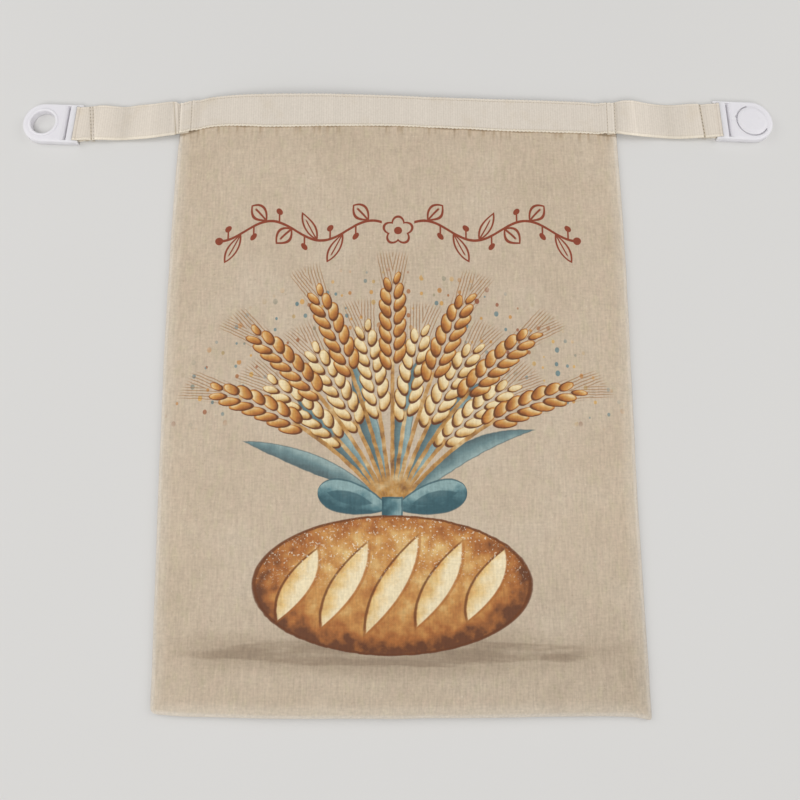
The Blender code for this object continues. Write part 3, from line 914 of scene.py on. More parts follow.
def build_tail(side):
    """One doubled webbing tail, looped round the buckle's bar."""
    path = tail_path(side)
    across = webbing_columns()
    cross = unit(np.array([0.0, 1.0, 0.0]) * (1 - path.share) + path.slot_way * path.share)
    tangent = unit(np.gradient(path.points, axis=0))
    normal = unit(np.cross(cross, tangent) * -path.sign)
    reach = path.width / 2 * across
    middle = path.points[:, None, :] + cross[:, None, :] * reach[..., None]
    calm = bell(path.out - CALM_X, CALM_REACH)
    wave = lumps(path.along[:, None], across[None, :] * WAVE_STRETCH, WAVE_SIZE, side.seed)
    middle[..., 2] += WAVE * (wave * (1 - calm)[:, None])
    droop = ease((-across * path.width / 2 - DROOP_FROM) / DROOP_WIDTH) * (1 - path.share**6)
    middle[..., 2] -= DROOP * droop * path.upper * ease(path.space / DROOP_SPACE)
    leaned = middle[..., 0] + LEAN * (middle[..., 1] - path.points[:, 1:2])
    carved = relief(leaned, side.valleys, side.ridges) * path.upper
    seam = nearness(leaned, side.valleys[:side.stitched]) * path.upper
    # Painted light and shade: carved ridges and troughs, and the upper layer's lift off the
    # lower one, lighten and darken the colour
    swell = np.clip((path.space - SWELL_FROM) * SWELL_PAINTED_LIGHT, *SWELL_LIMITS) * path.upper
    tone = carved * PAINTED_SHADE_PER_METRE + swell
    middle[..., 2] += carved
    sway = SWAY * lumps(path.along, path.along * 0, TAIL_SWAY_SIZE, side.seed + 1) * (1 - calm)
    middle += cross[:, None, :] * sway[:, None, None]
    normals = np.broadcast_to(normal[:, None, :], middle.shape)
    name = side.name + "_tail_webbing"
    return webbing(name, middle, normals, path.along, across, tone, seam)


# Stitches

def stitch_template(rings=4, sides=6):
    """Points and faces of one short thread: a slim closed lozenge along +X."""
    points = [(-0.5, 0.0, 0.0)]
    for k in range(1, rings):
        turn = math.pi * k / rings
        for j in range(sides):
            a = 2 * math.pi * j / sides
            r = math.sin(turn) ** 0.6
            points.append((-0.5 * math.cos(turn), r * math.cos(a) / 2, r * math.sin(a) / 2))
    points.append((0.5, 0.0, 0.0))
    last = len(points) - 1
    faces = [(0, 1 + (j + 1) % sides, 1 + j) for j in range(sides)]
    for k in range(rings - 2):
        for j in range(sides):
            a, b = 1 + k * sides + j, 1 + k * sides + (j + 1) % sides
            faces.append((a, b, b + sides, a + sides))
    faces += [(last, last - sides + j, last - sides + (j + 1) % sides) for j in range(sides)]
    return np.array(points), faces


def thread(centre, direction, normal=(0, 0, 1), length=STITCH_LENGTH, thickness=THREAD):
    """Where one short thread lies, for the list that stitches() takes."""
    return centre, direction, normal, length, thickness


def stitches(name, placed):
    """Join short threads into one object."""
    base, base_faces = stitch_template()
    points, faces, along = [], [], []
    for centre, direction, normal, length, thickness in placed:
        x = np.array(direction) / np.linalg.norm(direction)
        z = np.array(normal) / np.linalg.norm(normal)
        y = np.cross(z, x)
        start = len(points) * len(base)
        scaled = base * np.array([length, thickness, thickness])
        points.append(np.array(centre) + scaled @ np.stack([x, y, z]))
        along.append(base[:, 0] * length)
        faces += [tuple(start + k for k in face) for face in base_faces]
    fields = [("along", np.concatenate(along))]
    return finish_mesh(name, np.concatenate(points).tolist(), faces, fields)


def stitch_places(first, last):
    """Places of the threads between two ends, on multiples of the pitch."""
    numbers = np.arange(math.ceil(first / STITCH_PITCH), math.floor(last / STITCH_PITCH) + 1)
    return numbers * STITCH_PITCH


def band_stitches():
    """Stitches along the band's two edges and across its ends."""
    rng = np.random.default_rng(BAND_THREAD_SEED)
    placed = []
    length = BAND_RIGHT_END - BAND_LEFT_END
    for v in BAND_STITCH_ROWS:
        for u in stitch_places(BAND_STITCH_START, length - BAND_STITCH_START):
            x = BAND_LEFT_END + u
            z = [band_surface(end, band_y(end, v)) + WEB_T / 2 for end in (x - MM, x + MM)]
            centre = (x, band_y(x, v), sum(z) / 2 + THREAD * 0.10)
            placed.append(thread(centre, (2 * MM, rng.uniform(-0.00006, 0.00006), z[1] - z[0])))
    for x, _ in BAND_STITCH_COLUMNS:
        for v in stitch_places(*BAND_STITCH_SPAN):
            y = band_y(x, v)
            centre = (x + rng.uniform(-0.0001, 0.0001), y, band_surface(x, y) + WEB_T / 2)
            placed.append(thread(centre, (rng.uniform(-0.06, 0.06), 1, 0)))
    return stitches("band_stitches", placed)


def tail_stitches(side):
    """Stitches across a tail, just short of the buckle, and its few loose fibres."""
    rng = np.random.default_rng(side.thread_seed)
    points = tail_path(side).points
    upper = points[:len(points) // 2]
    placed = []
    for at_x, depth in side.valleys[:side.stitched]:
        x, y, z = upper[np.argmin(np.abs(upper[:, 0] - at_x))]
        z_thread = z + WEB_T / 2 - depth + THREAD * 0.1
        for v in stitch_places(*TAIL_STITCH_SPAN):
            direction = (rng.uniform(-0.08, 0.08) - LEAN, 1, 0)
            placed.append(thread((x - v * LEAN, y + v, z_thread), direction))
    placed += loose_fibres(rng, side.valleys[0][0], y - WEB_WIDTH / 2)
    return stitches(side.name + "_tail_stitches", placed)


def loose_fibres(rng, at_x, selvedge_y):
    """Frayed bits at the lower selvedge, where the tail's cut end is sewn in."""
    placed = []
    outward = math.copysign(1.0, at_x)
    for _ in range(LOOSE_FIBRES):
        x = at_x + outward * rng.uniform(-0.0030, 0.0060)
        y = selvedge_y - rng.uniform(-0.0010, 0.0009)
        z = rng.uniform(0.0006, 0.0026)
        turn = rng.uniform(-0.9, 0.9)
        direction = (math.cos(turn), math.sin(turn), rng.uniform(-0.3, 0.3))
        length = rng.uniform(0.0010, 0.0024)
        thickness = rng.uniform(0.00014, 0.00030)
        placed.append(thread((x, y, z), direction, length=length, thickness=thickness))
    return placed


def hem_stitches():
    """Stitches along the hem inside the back panel's mouth, and below it."""
    placed = []
    top = CLOTH_T + HEM_STEP + BACK_LIFT + THREAD * 0.1
    for x in np.arange(*HEM_STITCH_SPAN, STITCH_PITCH):
        y = mouth_y(x) - BACK_SETBACK - HEM_WIDTH + HEM_LINE
        placed.append(thread((x, y, top), (1, 0, 0)))
        below = (x, y, THREAD * 0.35)
        placed.append(thread(below, (1, 0, 0), (0, 0, -1), thickness=THREAD * 0.7))
    return stitches("hem_stitches", placed)


# Buckle halves

def prism(points, low, high, axis):
    """A closed bmesh from an outline, drawn out along an axis."""
    shape = bmesh.new()

    def place(a, b, c):
        return (a, b, c) if axis == "Z" else (a, c, b)

    lower = [shape.verts.new(place(a, b, low)) for a, b in points]
    upper = [shape.verts.new(place(a, b, high)) for a, b in points]
    shape.faces.new(lower[::-1])
    shape.faces.new(upper)
    for k in range(len(points)):
        n = (k + 1) % len(points)
        shape.faces.new((lower[k], lower[n], upper[n], upper[k]))
    bmesh.ops.recalc_face_normals(shape, faces=shape.faces[:])
    return shape


def turned_solid(profile, steps=96):
    """A closed bmesh turned round the head's middle from radius and height pairs."""
    shape = bmesh.new()
    rings = []
    for k in range(steps):
        turn = 2 * math.pi * k / steps
        rings.append([
            shape.verts.new((HEAD_U + r * math.cos(turn), r * math.sin(turn), z))
            for r, z in profile
        ])
    for k in range(steps):
        here, there = rings[k], rings[(k + 1) % steps]
        for j in range(len(profile)):
            n = (j + 1) % len(profile)
            shape.faces.new((here[j], there[j], there[n], here[n]))
    bmesh.ops.remove_doubles(shape, verts=shape.verts[:], dist=1e-7)
    bmesh.ops.recalc_face_normals(shape, faces=shape.faces[:])
    return shape


def solid(name, shape):
    """An object from a bmesh."""
    mesh = bpy.data.meshes.new(name)
    shape.to_mesh(mesh)
    shape.free()
    return new_object(name, mesh)


def bake_modifiers(made):
    """Turn an object's modifiers into its mesh."""
    graph = bpy.context.evaluated_depsgraph_get()
    mesh = bpy.data.meshes.new_from_object(made.evaluated_get(graph))
    made.modifiers.clear()
    made.data = mesh


def combine(base, steps):
    """Apply Booleans to a base solid, one after another, and remove the helpers."""
    for helper, operation in steps:
        step = base.modifiers.new(helper.name, "BOOLEAN")
        step.operation = operation
        step.object = helper
        step.solver = "EXACT"
    bake_modifiers(base)
    for helper, _ in steps:
        bpy.data.objects.remove(helper, do_unlink=True)
    return base


def arc(centre_a, centre_b, radius, start, end, steps=6):
    """Points on an arc between two angles in degrees."""
    turns = np.radians(np.linspace(start, end, steps + 1))
    return [(centre_a + radius * math.cos(t), centre_b + radius * math.sin(t)) for t in turns]


def buckle_plate(name):
    """The plate of a buckle half, its rims rounded."""
    outline = [(RAIL_START, -BUCKLE_HALF_WIDTH)]
    for turn in np.linspace(-math.pi / 2, math.pi / 2, 73):
        u = HEAD_U + HEAD_RADIUS * math.cos(turn)
        outline.append((u, BUCKLE_HALF_WIDTH * math.sin(turn)))
    outline.append((RAIL_START, BUCKLE_HALF_WIDTH))
    shape = prism(outline, 0.0, BUCKLE_T, "Z")
    for height, radius, segments in ((BUCKLE_T, RIM_ROUND, 5), (0.0, FOOT_ROUND, 2)):
        rim = [e for e in shape.edges if all(abs(v.co.z - height) < 1e-6 for v in e.verts)]
        bmesh.ops.bevel(
            shape, geom=rim, offset=radius, segments=segments, profile=0.5, affect="EDGES",
            clamp_overlap=True,
        )
    return solid(name, shape)


def notch_outline():
    """The webbing's notch, which hugs the loop round the bar."""
    top = BUCKLE_T + CUT_OVER
    hug = LOOP_RADIUS + WEB_T / 2 + NOTCH_CLEARANCE
    outline = [(-CUT_OVER, -CUT_OVER), (LOOP_BAR_U + hug, -CUT_OVER)]
    outline += arc(LOOP_BAR_U, LOOP_BAR_Z, hug, 0, HUG_END)
    outline += [(LOOP_BAR_U + hug * math.cos(math.radians(HUG_END)), top), (-CUT_OVER, top)]
    return outline


def slot_outline():
    """The free slot, with a broad eased edge towards the head and a small one at its back."""
    top = BUCKLE_T + CUT_OVER
    outline = [(FREE_SLOT_START, -CUT_OVER), (FREE_SLOT_END, -CUT_OVER)]
    for turn in np.linspace(math.pi, math.pi / 2, 9):
        outline.append((
            FREE_SLOT_END + SLOT_EASE * (1 + math.cos(turn)),
            BUCKLE_T - SLOT_DIP * (1 - math.sin(turn)),
        ))
    outline += [(FREE_SLOT_END + SLOT_EASE, top), (FREE_SLOT_START - SLOT_ROUND, top)]
    outline += [(FREE_SLOT_START - SLOT_ROUND, BUCKLE_T)]
    outline += [(FREE_SLOT_START, BUCKLE_T - SLOT_ROUND)]
    return outline


def slope_outline():
    """What slopes the rails down at their ends."""
    low, high = BUCKLE_T - RAIL_DROP, BUCKLE_T + SLOPE_OVER
    return [(-CUT_OVER, low), (RAIL_START, low), (RAIL_SLOPE_END, high), (-CUT_OVER, high)]


def slot_cutters(name):
    """The rails' slope, the webbing's notch and the free slot."""
    wide = BUCKLE_HALF_WIDTH - RAIL_T
    full = BUCKLE_HALF_WIDTH + CUT_OVER
    return [
        (solid(name + "_wedge", prism(slope_outline(), -full, full, "Y")), "DIFFERENCE"),
        (solid(name + "_notch", prism(notch_outline(), -wide, wide, "Y")), "DIFFERENCE"),
        (solid(name + "_slot", prism(slot_outline(), -wide, wide, "Y")), "DIFFERENCE"),
    ]


def loop_bar(name):
    """The round bar in the webbing's loop."""
    ring = arc(LOOP_BAR_U, LOOP_BAR_Z, LOOP_BAR_RADIUS, 0, 360, 24)[:-1]
    reach = BUCKLE_HALF_WIDTH - RAIL_T / 2
    return solid(name + "_bar", prism(ring, -reach, reach, "Y")), "UNION"


def lip_ring():
    """The low rounded lip round the socket."""
    inner, outer = SOCKET_RADIUS - LIP_OVERLAP, LIP_RADIUS + LIP_HEIGHT
    low, top = BUCKLE_T - CUT_OVER, BUCKLE_T + LIP_HEIGHT
    profile = [(inner, low), (outer, low), (outer, BUCKLE_T)]
    profile += arc(outer - LIP_ROUND, top - LIP_ROUND, LIP_ROUND, 15, 90)
    profile += [(inner, top)]
    return turned_solid(profile)


def socket_cutter():
    """The socket's hole, with a rounded mouth."""
    top = BUCKLE_T + LIP_HEIGHT
    profile = [(0.0, -CUT_OVER), (SOCKET_RADIUS, -CUT_OVER)]
    wide = SOCKET_RADIUS + SOCKET_ROUND
    profile += arc(wide, top - SOCKET_ROUND, SOCKET_ROUND, 180, 90)
    profile += [(wide, top + CUT_OVER), (0.0, top + CUT_OVER)]
    return turned_solid(profile)


def button_disc():
    """The sprung button: a low disc with a broad sloped rim and a flat top."""
    profile = [(0.0, BUCKLE_T - CUT_OVER), (BUTTON_RADIUS, BUCKLE_T - CUT_OVER)]
    profile += [(BUTTON_RADIUS - inset, BUCKLE_T + rise) for inset, rise in BUTTON_RIM]
    profile += [(0.0, BUCKLE_T + BUTTON_RIM[-1][1])]
    return turned_solid(profile)


def groove_cutter():
    """The C-shaped groove that frees the button on three sides, with its small notch."""
    inner, outer = BUTTON_RADIUS, BUTTON_RADIUS + GROOVE_WIDTH
    turns = np.radians(np.linspace(GROOVE_START, GROOVE_END, GROOVE_POINTS))
    notch = (np.degrees(turns) > GROOVE_NOTCH[0]) & (np.degrees(turns) < GROOVE_NOTCH[1])
    reach = outer + GROOVE_NOTCH_DEPTH * notch
    ring = [(HEAD_U + r * math.cos(t), r * math.sin(t)) for t, r in zip(turns, reach)]
    back = [(HEAD_U + inner * math.cos(t), inner * math.sin(t)) for t in turns[::-1]]
    return prism(ring + back, BUCKLE_T - GROOVE_DEPTH, BUCKLE_T + 2 * CUT_OVER, "Z")


def build_buckle(side, head_steps):
    """One buckle half from its plate, slots, bar and head."""
    name = side.name + "_buckle_half"
    made = combine(buckle_plate(name), slot_cutters(name) + [loop_bar(name)] + head_steps)
    made.data.transform(buckle_frame(side))
    made.data.shade_smooth()
    made.data.set_sharp_from_angle(angle=math.radians(SHARP_ANGLE))
    made.modifiers.new("even_shading", "WEIGHTED_NORMAL").keep_sharp = True
    bake_modifiers(made)
    return made


def socket_head():
    """The left head: its lip, then the socket's hole."""
    return [
        (solid("socket_lip", lip_ring()), "UNION"),
        (solid("socket_hole", socket_cutter()), "DIFFERENCE"),
    ]


def button_head():
    """The right head: its button, then the groove round it."""
    return [
        (solid("button_disc", button_disc()), "UNION"),
        (solid("button_groove", groove_cutter()), "DIFFERENCE"),
    ]


# Node fields

def plug(tree, value, socket):
    """Feed a socket from a field, from another socket or with a plain value."""
    if isinstance(value, Field):
        value = value.source
    if isinstance(value, bpy.types.NodeSocket):
        tree.links.new(value, socket)
    else:
        socket.default_value = value


def math_node(operation):
    """A method of Field that adds one math node."""
    def method(self, *others):
        return self.math(operation, *others)
    return method


class Field:
    """A number that varies over a surface, worked out by math nodes."""

    __add__ = __radd__ = math_node("ADD")
    __sub__ = math_node("SUBTRACT")
    __mul__ = __rmul__ = math_node("MULTIPLY")
    __truediv__ = math_node("DIVIDE")
    __abs__ = math_node("ABSOLUTE")
    sin = math_node("SINE")
    cos = math_node("COSINE")
    angle = math_node("ARCTAN2")
    sqrt = math_node("SQRT")
    sign = math_node("SIGN")
    floor = math_node("FLOOR")
    round = math_node("ROUND")
    fract = math_node("FRACT")
    least = math_node("MINIMUM")
    most = math_node("MAXIMUM")
    over = math_node("GREATER_THAN")
    under = math_node("LESS_THAN")

    def __init__(self, tree, source):
        self.tree = tree
        self.source = source

    def math(self, operation, *others):
        node = self.tree.nodes.new("ShaderNodeMath")
        node.operation = operation
        for socket, value in zip(node.inputs, (self, *others)):
            plug(self.tree, value, socket)
        return Field(self.tree, node.outputs[0])

    def __rsub__(self, other):
        return self * -1.0 + other

    def step(self, low, high):
        """Go smoothly from 0 at low to 1 at high; a high below the low turns it round."""
        node = self.tree.nodes.new("ShaderNodeMapRange")
        node.interpolation_type = "SMOOTHSTEP"
        node.inputs["From Min"].default_value = min(low, high)
        node.inputs["From Max"].default_value = max(low, high)
        node.inputs["To Min"].default_value = 0.0 if high > low else 1.0
        node.inputs["To Max"].default_value = 1.0 if high > low else 0.0
        plug(self.tree, self, node.inputs["Value"])
        return Field(self.tree, node.outputs["Result"])


class Painter:
    """A new material whose colour is painted in layers."""

    def __init__(self, name, colour):
        self.material = bpy.data.materials.new(name)
        self.material.use_nodes = True
        self.tree = self.material.node_tree
        self.shader = self.tree.nodes["Principled BSDF"]
        rgb = self.tree.nodes.new("ShaderNodeRGB")
        rgb.outputs[0].default_value = (*srgb(*colour), 1.0)
        self.colour = rgb.outputs[0]
        place = self.tree.nodes.new("ShaderNodeTexCoord").outputs["Object"]
        split = self.tree.nodes.new("ShaderNodeSeparateXYZ")
        plug(self.tree, place, split.inputs[0])
        self.x, self.y, self.z = (Field(self.tree, out) * MM_PER_M for out in split.outputs)

    def field(self, name):
        """A float attribute of the mesh, in millimetres."""
        node = self.tree.nodes.new("ShaderNodeAttribute")
        node.attribute_name = name
        return Field(self.tree, node.outputs["Fac"]) * MM_PER_M

    def vector(self, *parts):
        node = self.tree.nodes.new("ShaderNodeCombineXYZ")
        for socket, value in zip(node.inputs, parts):
            plug(self.tree, value, socket)
        return node.outputs[0]

    def noise(self, size, detail=2.0, stretch=(1.0, 1.0, 1.0)):
        """Noise about 0.5 with features of a size in millimetres."""
        node = self.tree.nodes.new("ShaderNodeTexNoise")
        node.inputs["Scale"].default_value = 1.0
        node.inputs["Detail"].default_value = detail
        axes = zip((self.x, self.y, self.z), stretch)
        coords = self.vector(*(axis * (share / size) for axis, share in axes))
        plug(self.tree, coords, node.inputs["Vector"])
        return Field(self.tree, node.outputs["Fac"])

    def paint(self, colour, mask):
        """Lay a colour, or the one that comes from a ramp, over what is there."""
        if not isinstance(colour, bpy.types.NodeSocket):
            colour = (*srgb(*colour), 1.0)
        node = self.tree.nodes.new("ShaderNodeMix")
        node.data_type = "RGBA"
        plug(self.tree, mask, node.inputs["Factor"])
        plug(self.tree, self.colour, node.inputs[6])
        plug(self.tree, colour, node.inputs[7])
        self.colour = node.outputs[2]

    def ramp(self, value, stops):
        """A colour that follows a field through several stops."""
        node = self.tree.nodes.new("ShaderNodeValToRGB")
        elements = node.color_ramp.elements
        while len(elements) < len(stops):
            elements.new(0.5)
        for element, (at, colour) in zip(elements, stops):
            element.position = at
            element.color = (*srgb(*colour), 1.0)
        plug(self.tree, value, node.inputs[0])
        return node.outputs[0]

    def shade(self, amount):
        """Multiply the colour by a field about 1."""
        node = self.tree.nodes.new("ShaderNodeVectorMath")
        node.operation = "SCALE"
        plug(self.tree, self.colour, node.inputs[0])
        plug(self.tree, amount, node.inputs["Scale"])
        self.colour = node.outputs[0]

    def bump(self, height, strength):
        """Raise the surface by a height field in millimetres."""
        node = self.tree.nodes.new("ShaderNodeBump")
        node.inputs["Strength"].default_value = strength
        node.inputs["Distance"].default_value = MM
        plug(self.tree, height, node.inputs["Height"])
        plug(self.tree, node.outputs[0], self.shader.inputs["Normal"])

    def finish(self, **inputs):
        """Set the shader's other inputs, by field or value, and give the material."""
        plug(self.tree, self.colour, self.shader.inputs["Base Color"])
        for key, value in inputs.items():
            plug(self.tree, value, self.shader.inputs[key.replace("_", " ")])
        return self.material


# Print on the front, all in millimetres

def lens(along, off, length, width):
    """Signed height of a leaf shape: above 0 inside it."""
    middle = along / (length / 2) - 1.0
    return (1.0 - middle * middle) * (width / 2) - abs(off)


def turned_by(a, b, degrees):
    """Two fields turned by an angle."""
    c, s = math.cos(math.radians(degrees)), math.sin(math.radians(degrees))
    return a * c + b * s, b * c - a * s


def print_vine(p, wobble):
    """A leafy scroll in rust line work, mirrored about a small flower."""
    across, v = p.x - VINE_CENTRE[0], p.y - VINE_CENTRE[1] + wobble
    u = abs(across)
    w = v - (u * (math.pi / (2 * VINE_PITCH))).sin() * VINE_SWING
    end = VINE_PITCH * (VINE_LEAVES + 1)
    stem = abs(w).step(1.15, 0.75) * u.step(10.5, 11.0) * u.step(end, end - 0.5)
    cell = (u / VINE_PITCH).floor()
    f = u - (cell + 0.5) * VINE_PITCH
    side = ((cell * 0.5).fract() * 4.0 - 1.0).sign()
    along, off = turned_by(f + 6.0, w * side, VINE_LEAF_LEAN)
    leaf = lens(along, off, *VINE_LEAF)
    outline = abs(leaf - 0.7).step(0.95, 0.55)
    vein = abs(off).step(0.75, 0.40) * along.step(0.5, 2.0) * along.step(15.0, 13.0)
    bx, by = f - 2.6, w * side + 7.6
    berry = (bx * bx + by * by).sqrt().step(2.4, 2.0)
    twig = abs(bx).step(0.75, 0.40) * by.step(0.0, 1.0) * by.step(7.6, 7.0)
    leaves = outline.most(vein).most(berry).most(twig)
    leaves = leaves * cell.over(0.5) * cell.under(VINE_LEAVES + 0.5)
    radius = (across * across + v * v).sqrt()
    edge = 6.6 + abs((across.angle(v) * 2.5).cos()) * 3.2
    flower = abs(radius - edge).step(1.05, 0.65).most(radius.step(2.9, 2.5))
    bud = ((u - end) * (u - end) + w * w).sqrt().step(2.9, 2.5)
    p.paint(RUST, stem.most(leaves).most(flower).most(bud) * 0.95)


def print_ground(p, blot):
    """A brown wash under the loaf: a pale haze, and darker strokes with a ragged foot."""
    u, v = (p.x - LOAF_CENTRE[0]) / WASH_HALF[0], (p.y - GROUND_Y) / WASH_HALF[1]
    reach = (u * u + v * v).sqrt() + (blot - 0.5) * 0.9
    p.paint(WASH, reach.step(1.15, 0.45) * 0.50)
    strokes = p.noise(7.0, 4.0, (0.16, 1.0, 1.0))
    v = (p.y - GROUND_Y + (strokes - 0.5) * STROKE_FRAY) / STROKE_HALF
    reach = (u * u + v * v).sqrt()
    p.paint(WASH_DARK, reach.step(1.00, 0.75) * strokes.step(0.28, 0.56) * 0.50)


def print_specks(p, blot):
    """Loose grains scattered round the sheaf's head."""
    dx, dy = p.x - SHEAF_TIE[0], p.y - SHEAF_TIE[1]
    radius = (dx * dx + dy * dy).sqrt()
    ring = radius.step(*SPECK_INNER) * radius.step(*SPECK_OUTER) * dy.step(*SPECK_LOWEST)
    node = p.tree.nodes.new("ShaderNodeTexVoronoi")
    node.voronoi_dimensions = "2D"
    node.inputs["Scale"].default_value = 1.0
    place = p.vector(p.x / SPECK_SPACING[0], p.y / SPECK_SPACING[1])
    plug(p.tree, place, node.inputs["Vector"])
    distance = Field(p.tree, node.outputs["Distance"])
    split = p.tree.nodes.new("ShaderNodeSeparateColor")
    plug(p.tree, node.outputs["Color"], split.inputs[0])
    pick, size = Field(p.tree, split.outputs[0]), Field(p.tree, split.outputs[1])
    dot = (distance - size * 0.24).step(0.03, -0.03) * size.over(0.35) * ring
    colour = p.ramp(pick, ((0.0, RUST), (0.3, GOLD), (0.55, STRAW_LIGHT), (0.8, TEAL)))
    p.paint(colour, dot * (0.55 + blot * 0.5))


def sheaf_fan(p, spread, shift, wobble):
    """Curved coordinates of a fan of stalks: distance out, offset, and the stalk's number."""
    dx, dy = p.x - SHEAF_TIE[0], p.y - SHEAF_TIE[1]
    out = (dx * dx + dy * dy).sqrt() + 0.001
    bow = 0.60 + (out / SHEAF_REACH).least(1.1) * 0.40
    fan = dx.angle(dy) / bow / spread
    number = (fan + shift).round() - shift
    return out, (fan - number) * spread * bow * out + wobble, number


def print_ears(p, shift, count, reach, tints, wobble, blot):
    """Stalks that each carry an ear of paired grains with fine bristles."""
    out, off, number = sheaf_fan(p, math.radians(EAR_SPREAD), shift, wobble)
    chance = ((number * 12.9898 + 4.1).sin() * 43758.5).fract()
    down = reach - abs(number) * 5.0 + chance * 8.0 - out
    allowed = abs(number).under(count)
    long = GRAIN_PITCH * GRAINS
    stalk = abs(off).step(1.5, 1.0) * out.step(2.0, 6.0) * down.step(long - 8.0, long - 4.0)
    stalks = p.ramp(blot, ((0.25, BROWN_INK), (0.5, STRAW), (0.8, CREAM_INK)))
    p.paint(stalks, stalk * allowed * 0.9)
    hairs = abs(((abs(off) + down * 0.20) / 2.0).fract() - 0.5).step(0.24, 0.10)
    fringe = (abs(off) + down * 0.10).step(9.5, 7.5) * down.step(-20.0, -13.0)
    p.paint(BRISTLE, hairs * fringe * down.step(14.0, 6.0) * allowed * 0.65)
    side = off.over(0.0) * 0.5
    taper = down.step(-4.0, 16.0) * 0.40 + 0.60
    for back in (1.0, 0.0, -1.0):
        cell = (down / GRAIN_PITCH + side).floor() + back
        f = down - (cell + 0.5 - side) * GRAIN_PITCH
        a, b = turned_by(f * -1.0, abs(off) - GRAIN_OFF * taper, GRAIN_LEAN)
        u, v = a / GRAIN_HALF[0], b / GRAIN_HALF[1]
        rim = (u * u + v * v).sqrt() / taper
        inside = rim.step(1.03, 0.93) * cell.over(-0.5) * cell.under(GRAINS - 0.5)
        tone = a * 0.06 - b * 0.12 + 0.56 + (blot - 0.5) * 0.7 - rim.step(0.66, 1.0) * 0.62
        p.paint(p.ramp(tone, tints), inside * allowed * 0.97)


def print_leaves(p, wobble, blot):
    """Long blades between the stalks."""
    out, off, number = sheaf_fan(p, math.radians(BLADE_SPREAD), 0.5, wobble)
    curve = ((out - 20.0) / 40.0).sin() * 5.0
    shape = lens(out - BLADE_START, off + curve, *BLADE_SIZE)
    allowed = abs(number).under(3.0)
    tone = (off + curve) * 0.09 + 0.5 + (blot - 0.5) * 0.8
    colour = p.ramp(tone, ((0.1, TEAL_DARK), (0.5, TEAL), (0.9, TEAL_LIGHT)))
    p.paint(colour, shape.step(0.0, 0.7) * allowed * 0.90)
    p.paint(TEAL_DARK, abs(shape - 0.3).step(0.55, 0.2) * allowed * 0.55)


def print_bow(p, wobble, blot):
    """A ribbon tied in a bow round the stalks."""
    dx, dy = p.x - SHEAF_TIE[0] + wobble, p.y - SHEAF_TIE[1] - 4.0 + wobble
    stops = ((0.25, TEAL_DARK), (0.5, TEAL), (0.75, TEAL_LIGHT))
    a, b = turned_by(abs(dx) - 3.0, dy - 1.0, BOW_LEAN)
    share = a / BOW_LENGTH
    loop = (share - share * share).sqrt() * (share * 14.0 + 13.0) - abs(b)
    p.paint(p.ramp(blot + b * 0.05, stops), loop.step(0.0, 0.8))
    p.paint(TEAL_DARK, lens(a - 9.0, b, 31.0, 9.0).step(0.0, 0.9) * 0.75)
    p.paint(TEAL_DARK, abs(loop - 0.5).step(0.8, 0.3) * share.under(1.0) * 0.80)
    knot = (abs(dx) - 6.5).most(abs(dy) - 7.5)
    p.paint(p.ramp(blot + dx * 0.05, stops), knot.step(0.4, -0.4))
    p.paint(TEAL_DARK, abs(knot + 0.5).step(0.8, 0.3) * 0.8)


def print_loaf(p, wobble, blot):
    """A plain oval loaf with slanting scores, its crust dark at the rim."""
    dx, dy = p.x - LOAF_CENTRE[0] + wobble, p.y - LOAF_CENTRE[1] + wobble
    u, v = dx / LOAF_HALF[0], dy / LOAF_HALF[1]
    rim = (u * u + v * v).sqrt()
    inside = rim.step(1.01, 0.99)
    tone = 0.52 + (blot - 0.5) * 1.1 + v * 0.16 - rim.step(0.60, 1.0) * 0.42
    stops = (
        (0.0, BROWN_INK), (0.25, CRUST), (0.52, CRUST_MID), (0.78, CRUST_LIGHT),
        (1.0, CREAM_INK),
    )
    p.paint(p.ramp(tone, stops), inside * 0.97)
    slant = (dx - dy * SCORE_SLOPE) / SCORE_PITCH
    cell = slant.round()
    off = (slant - cell) * 25.5
    length = abs(cell) * -8.0 + 60.0
    cut = lens(dy + length * 0.5, off, length, 16.0)
    cuts = inside * abs(cell).under(2.5)
    stops = ((0.1, CRUMB_DARK), (0.4, CRUMB), (0.75, PALE_INK))
    crumb = p.ramp(0.62 + off * 0.05 + (blot - 0.5) * 0.9, stops)
    p.paint(crumb, cut.step(0.0, 1.2) * cuts * 0.95)
    p.paint(BROWN_INK, abs(cut + 0.2).step(1.1, 0.3) * off.step(2.0, -3.0) * cuts * 0.80)
    p.paint(CRUST, abs(cut + 0.2).step(1.3, 0.4) * off.step(-2.0, 3.0) * cuts * 0.60)
    dust = p.noise(1.3, 2.0)
    p.paint(FLOUR, dust.step(0.60, 0.68) * v.step(-0.2, 0.5) * inside * 0.60)
    p.paint(BROWN_INK, abs(rim - 0.99).step(0.022, 0.010) * (0.55 + blot * 0.5))


def print_design(p):
    """The whole printed design: a scroll over a loaf and a tied sheaf of wheat."""
    wobble = (p.noise(5.0, 2.0) - 0.5) * 1.1
    blot = p.noise(9.0, 4.0)
    print_vine(p, wobble * 0.35)
    print_ground(p, p.noise(26.0, 5.0, (0.5, 1.4, 1.0)))
    print_specks(p, blot)
    print_leaves(p, wobble, blot)
    pale = ((0.05, BROWN_INK), (0.30, EAR_PALE), (0.60, CREAM_INK), (0.95, PALE_INK))
    deep = ((0.0, BROWN_INK), (0.32, CRUST), (0.62, EAR_DEEP), (0.95, CREAM_INK))
    print_ears(p, 0.5, 2.7, SHEAF_REACH - 30.0, pale, wobble, blot)
    print_ears(p, 0.0, 3.2, SHEAF_REACH, deep, wobble, blot)
    print_bow(p, wobble * 0.6, blot)
    print_loaf(p, wobble, blot)


# Materials

def weave(p, pitch):
    """Height of a plain weave, from -1 to 1."""
    a = (p.x * (math.pi / pitch)).sin()
    b = (p.y * (math.pi / pitch)).sin()
    return a * b


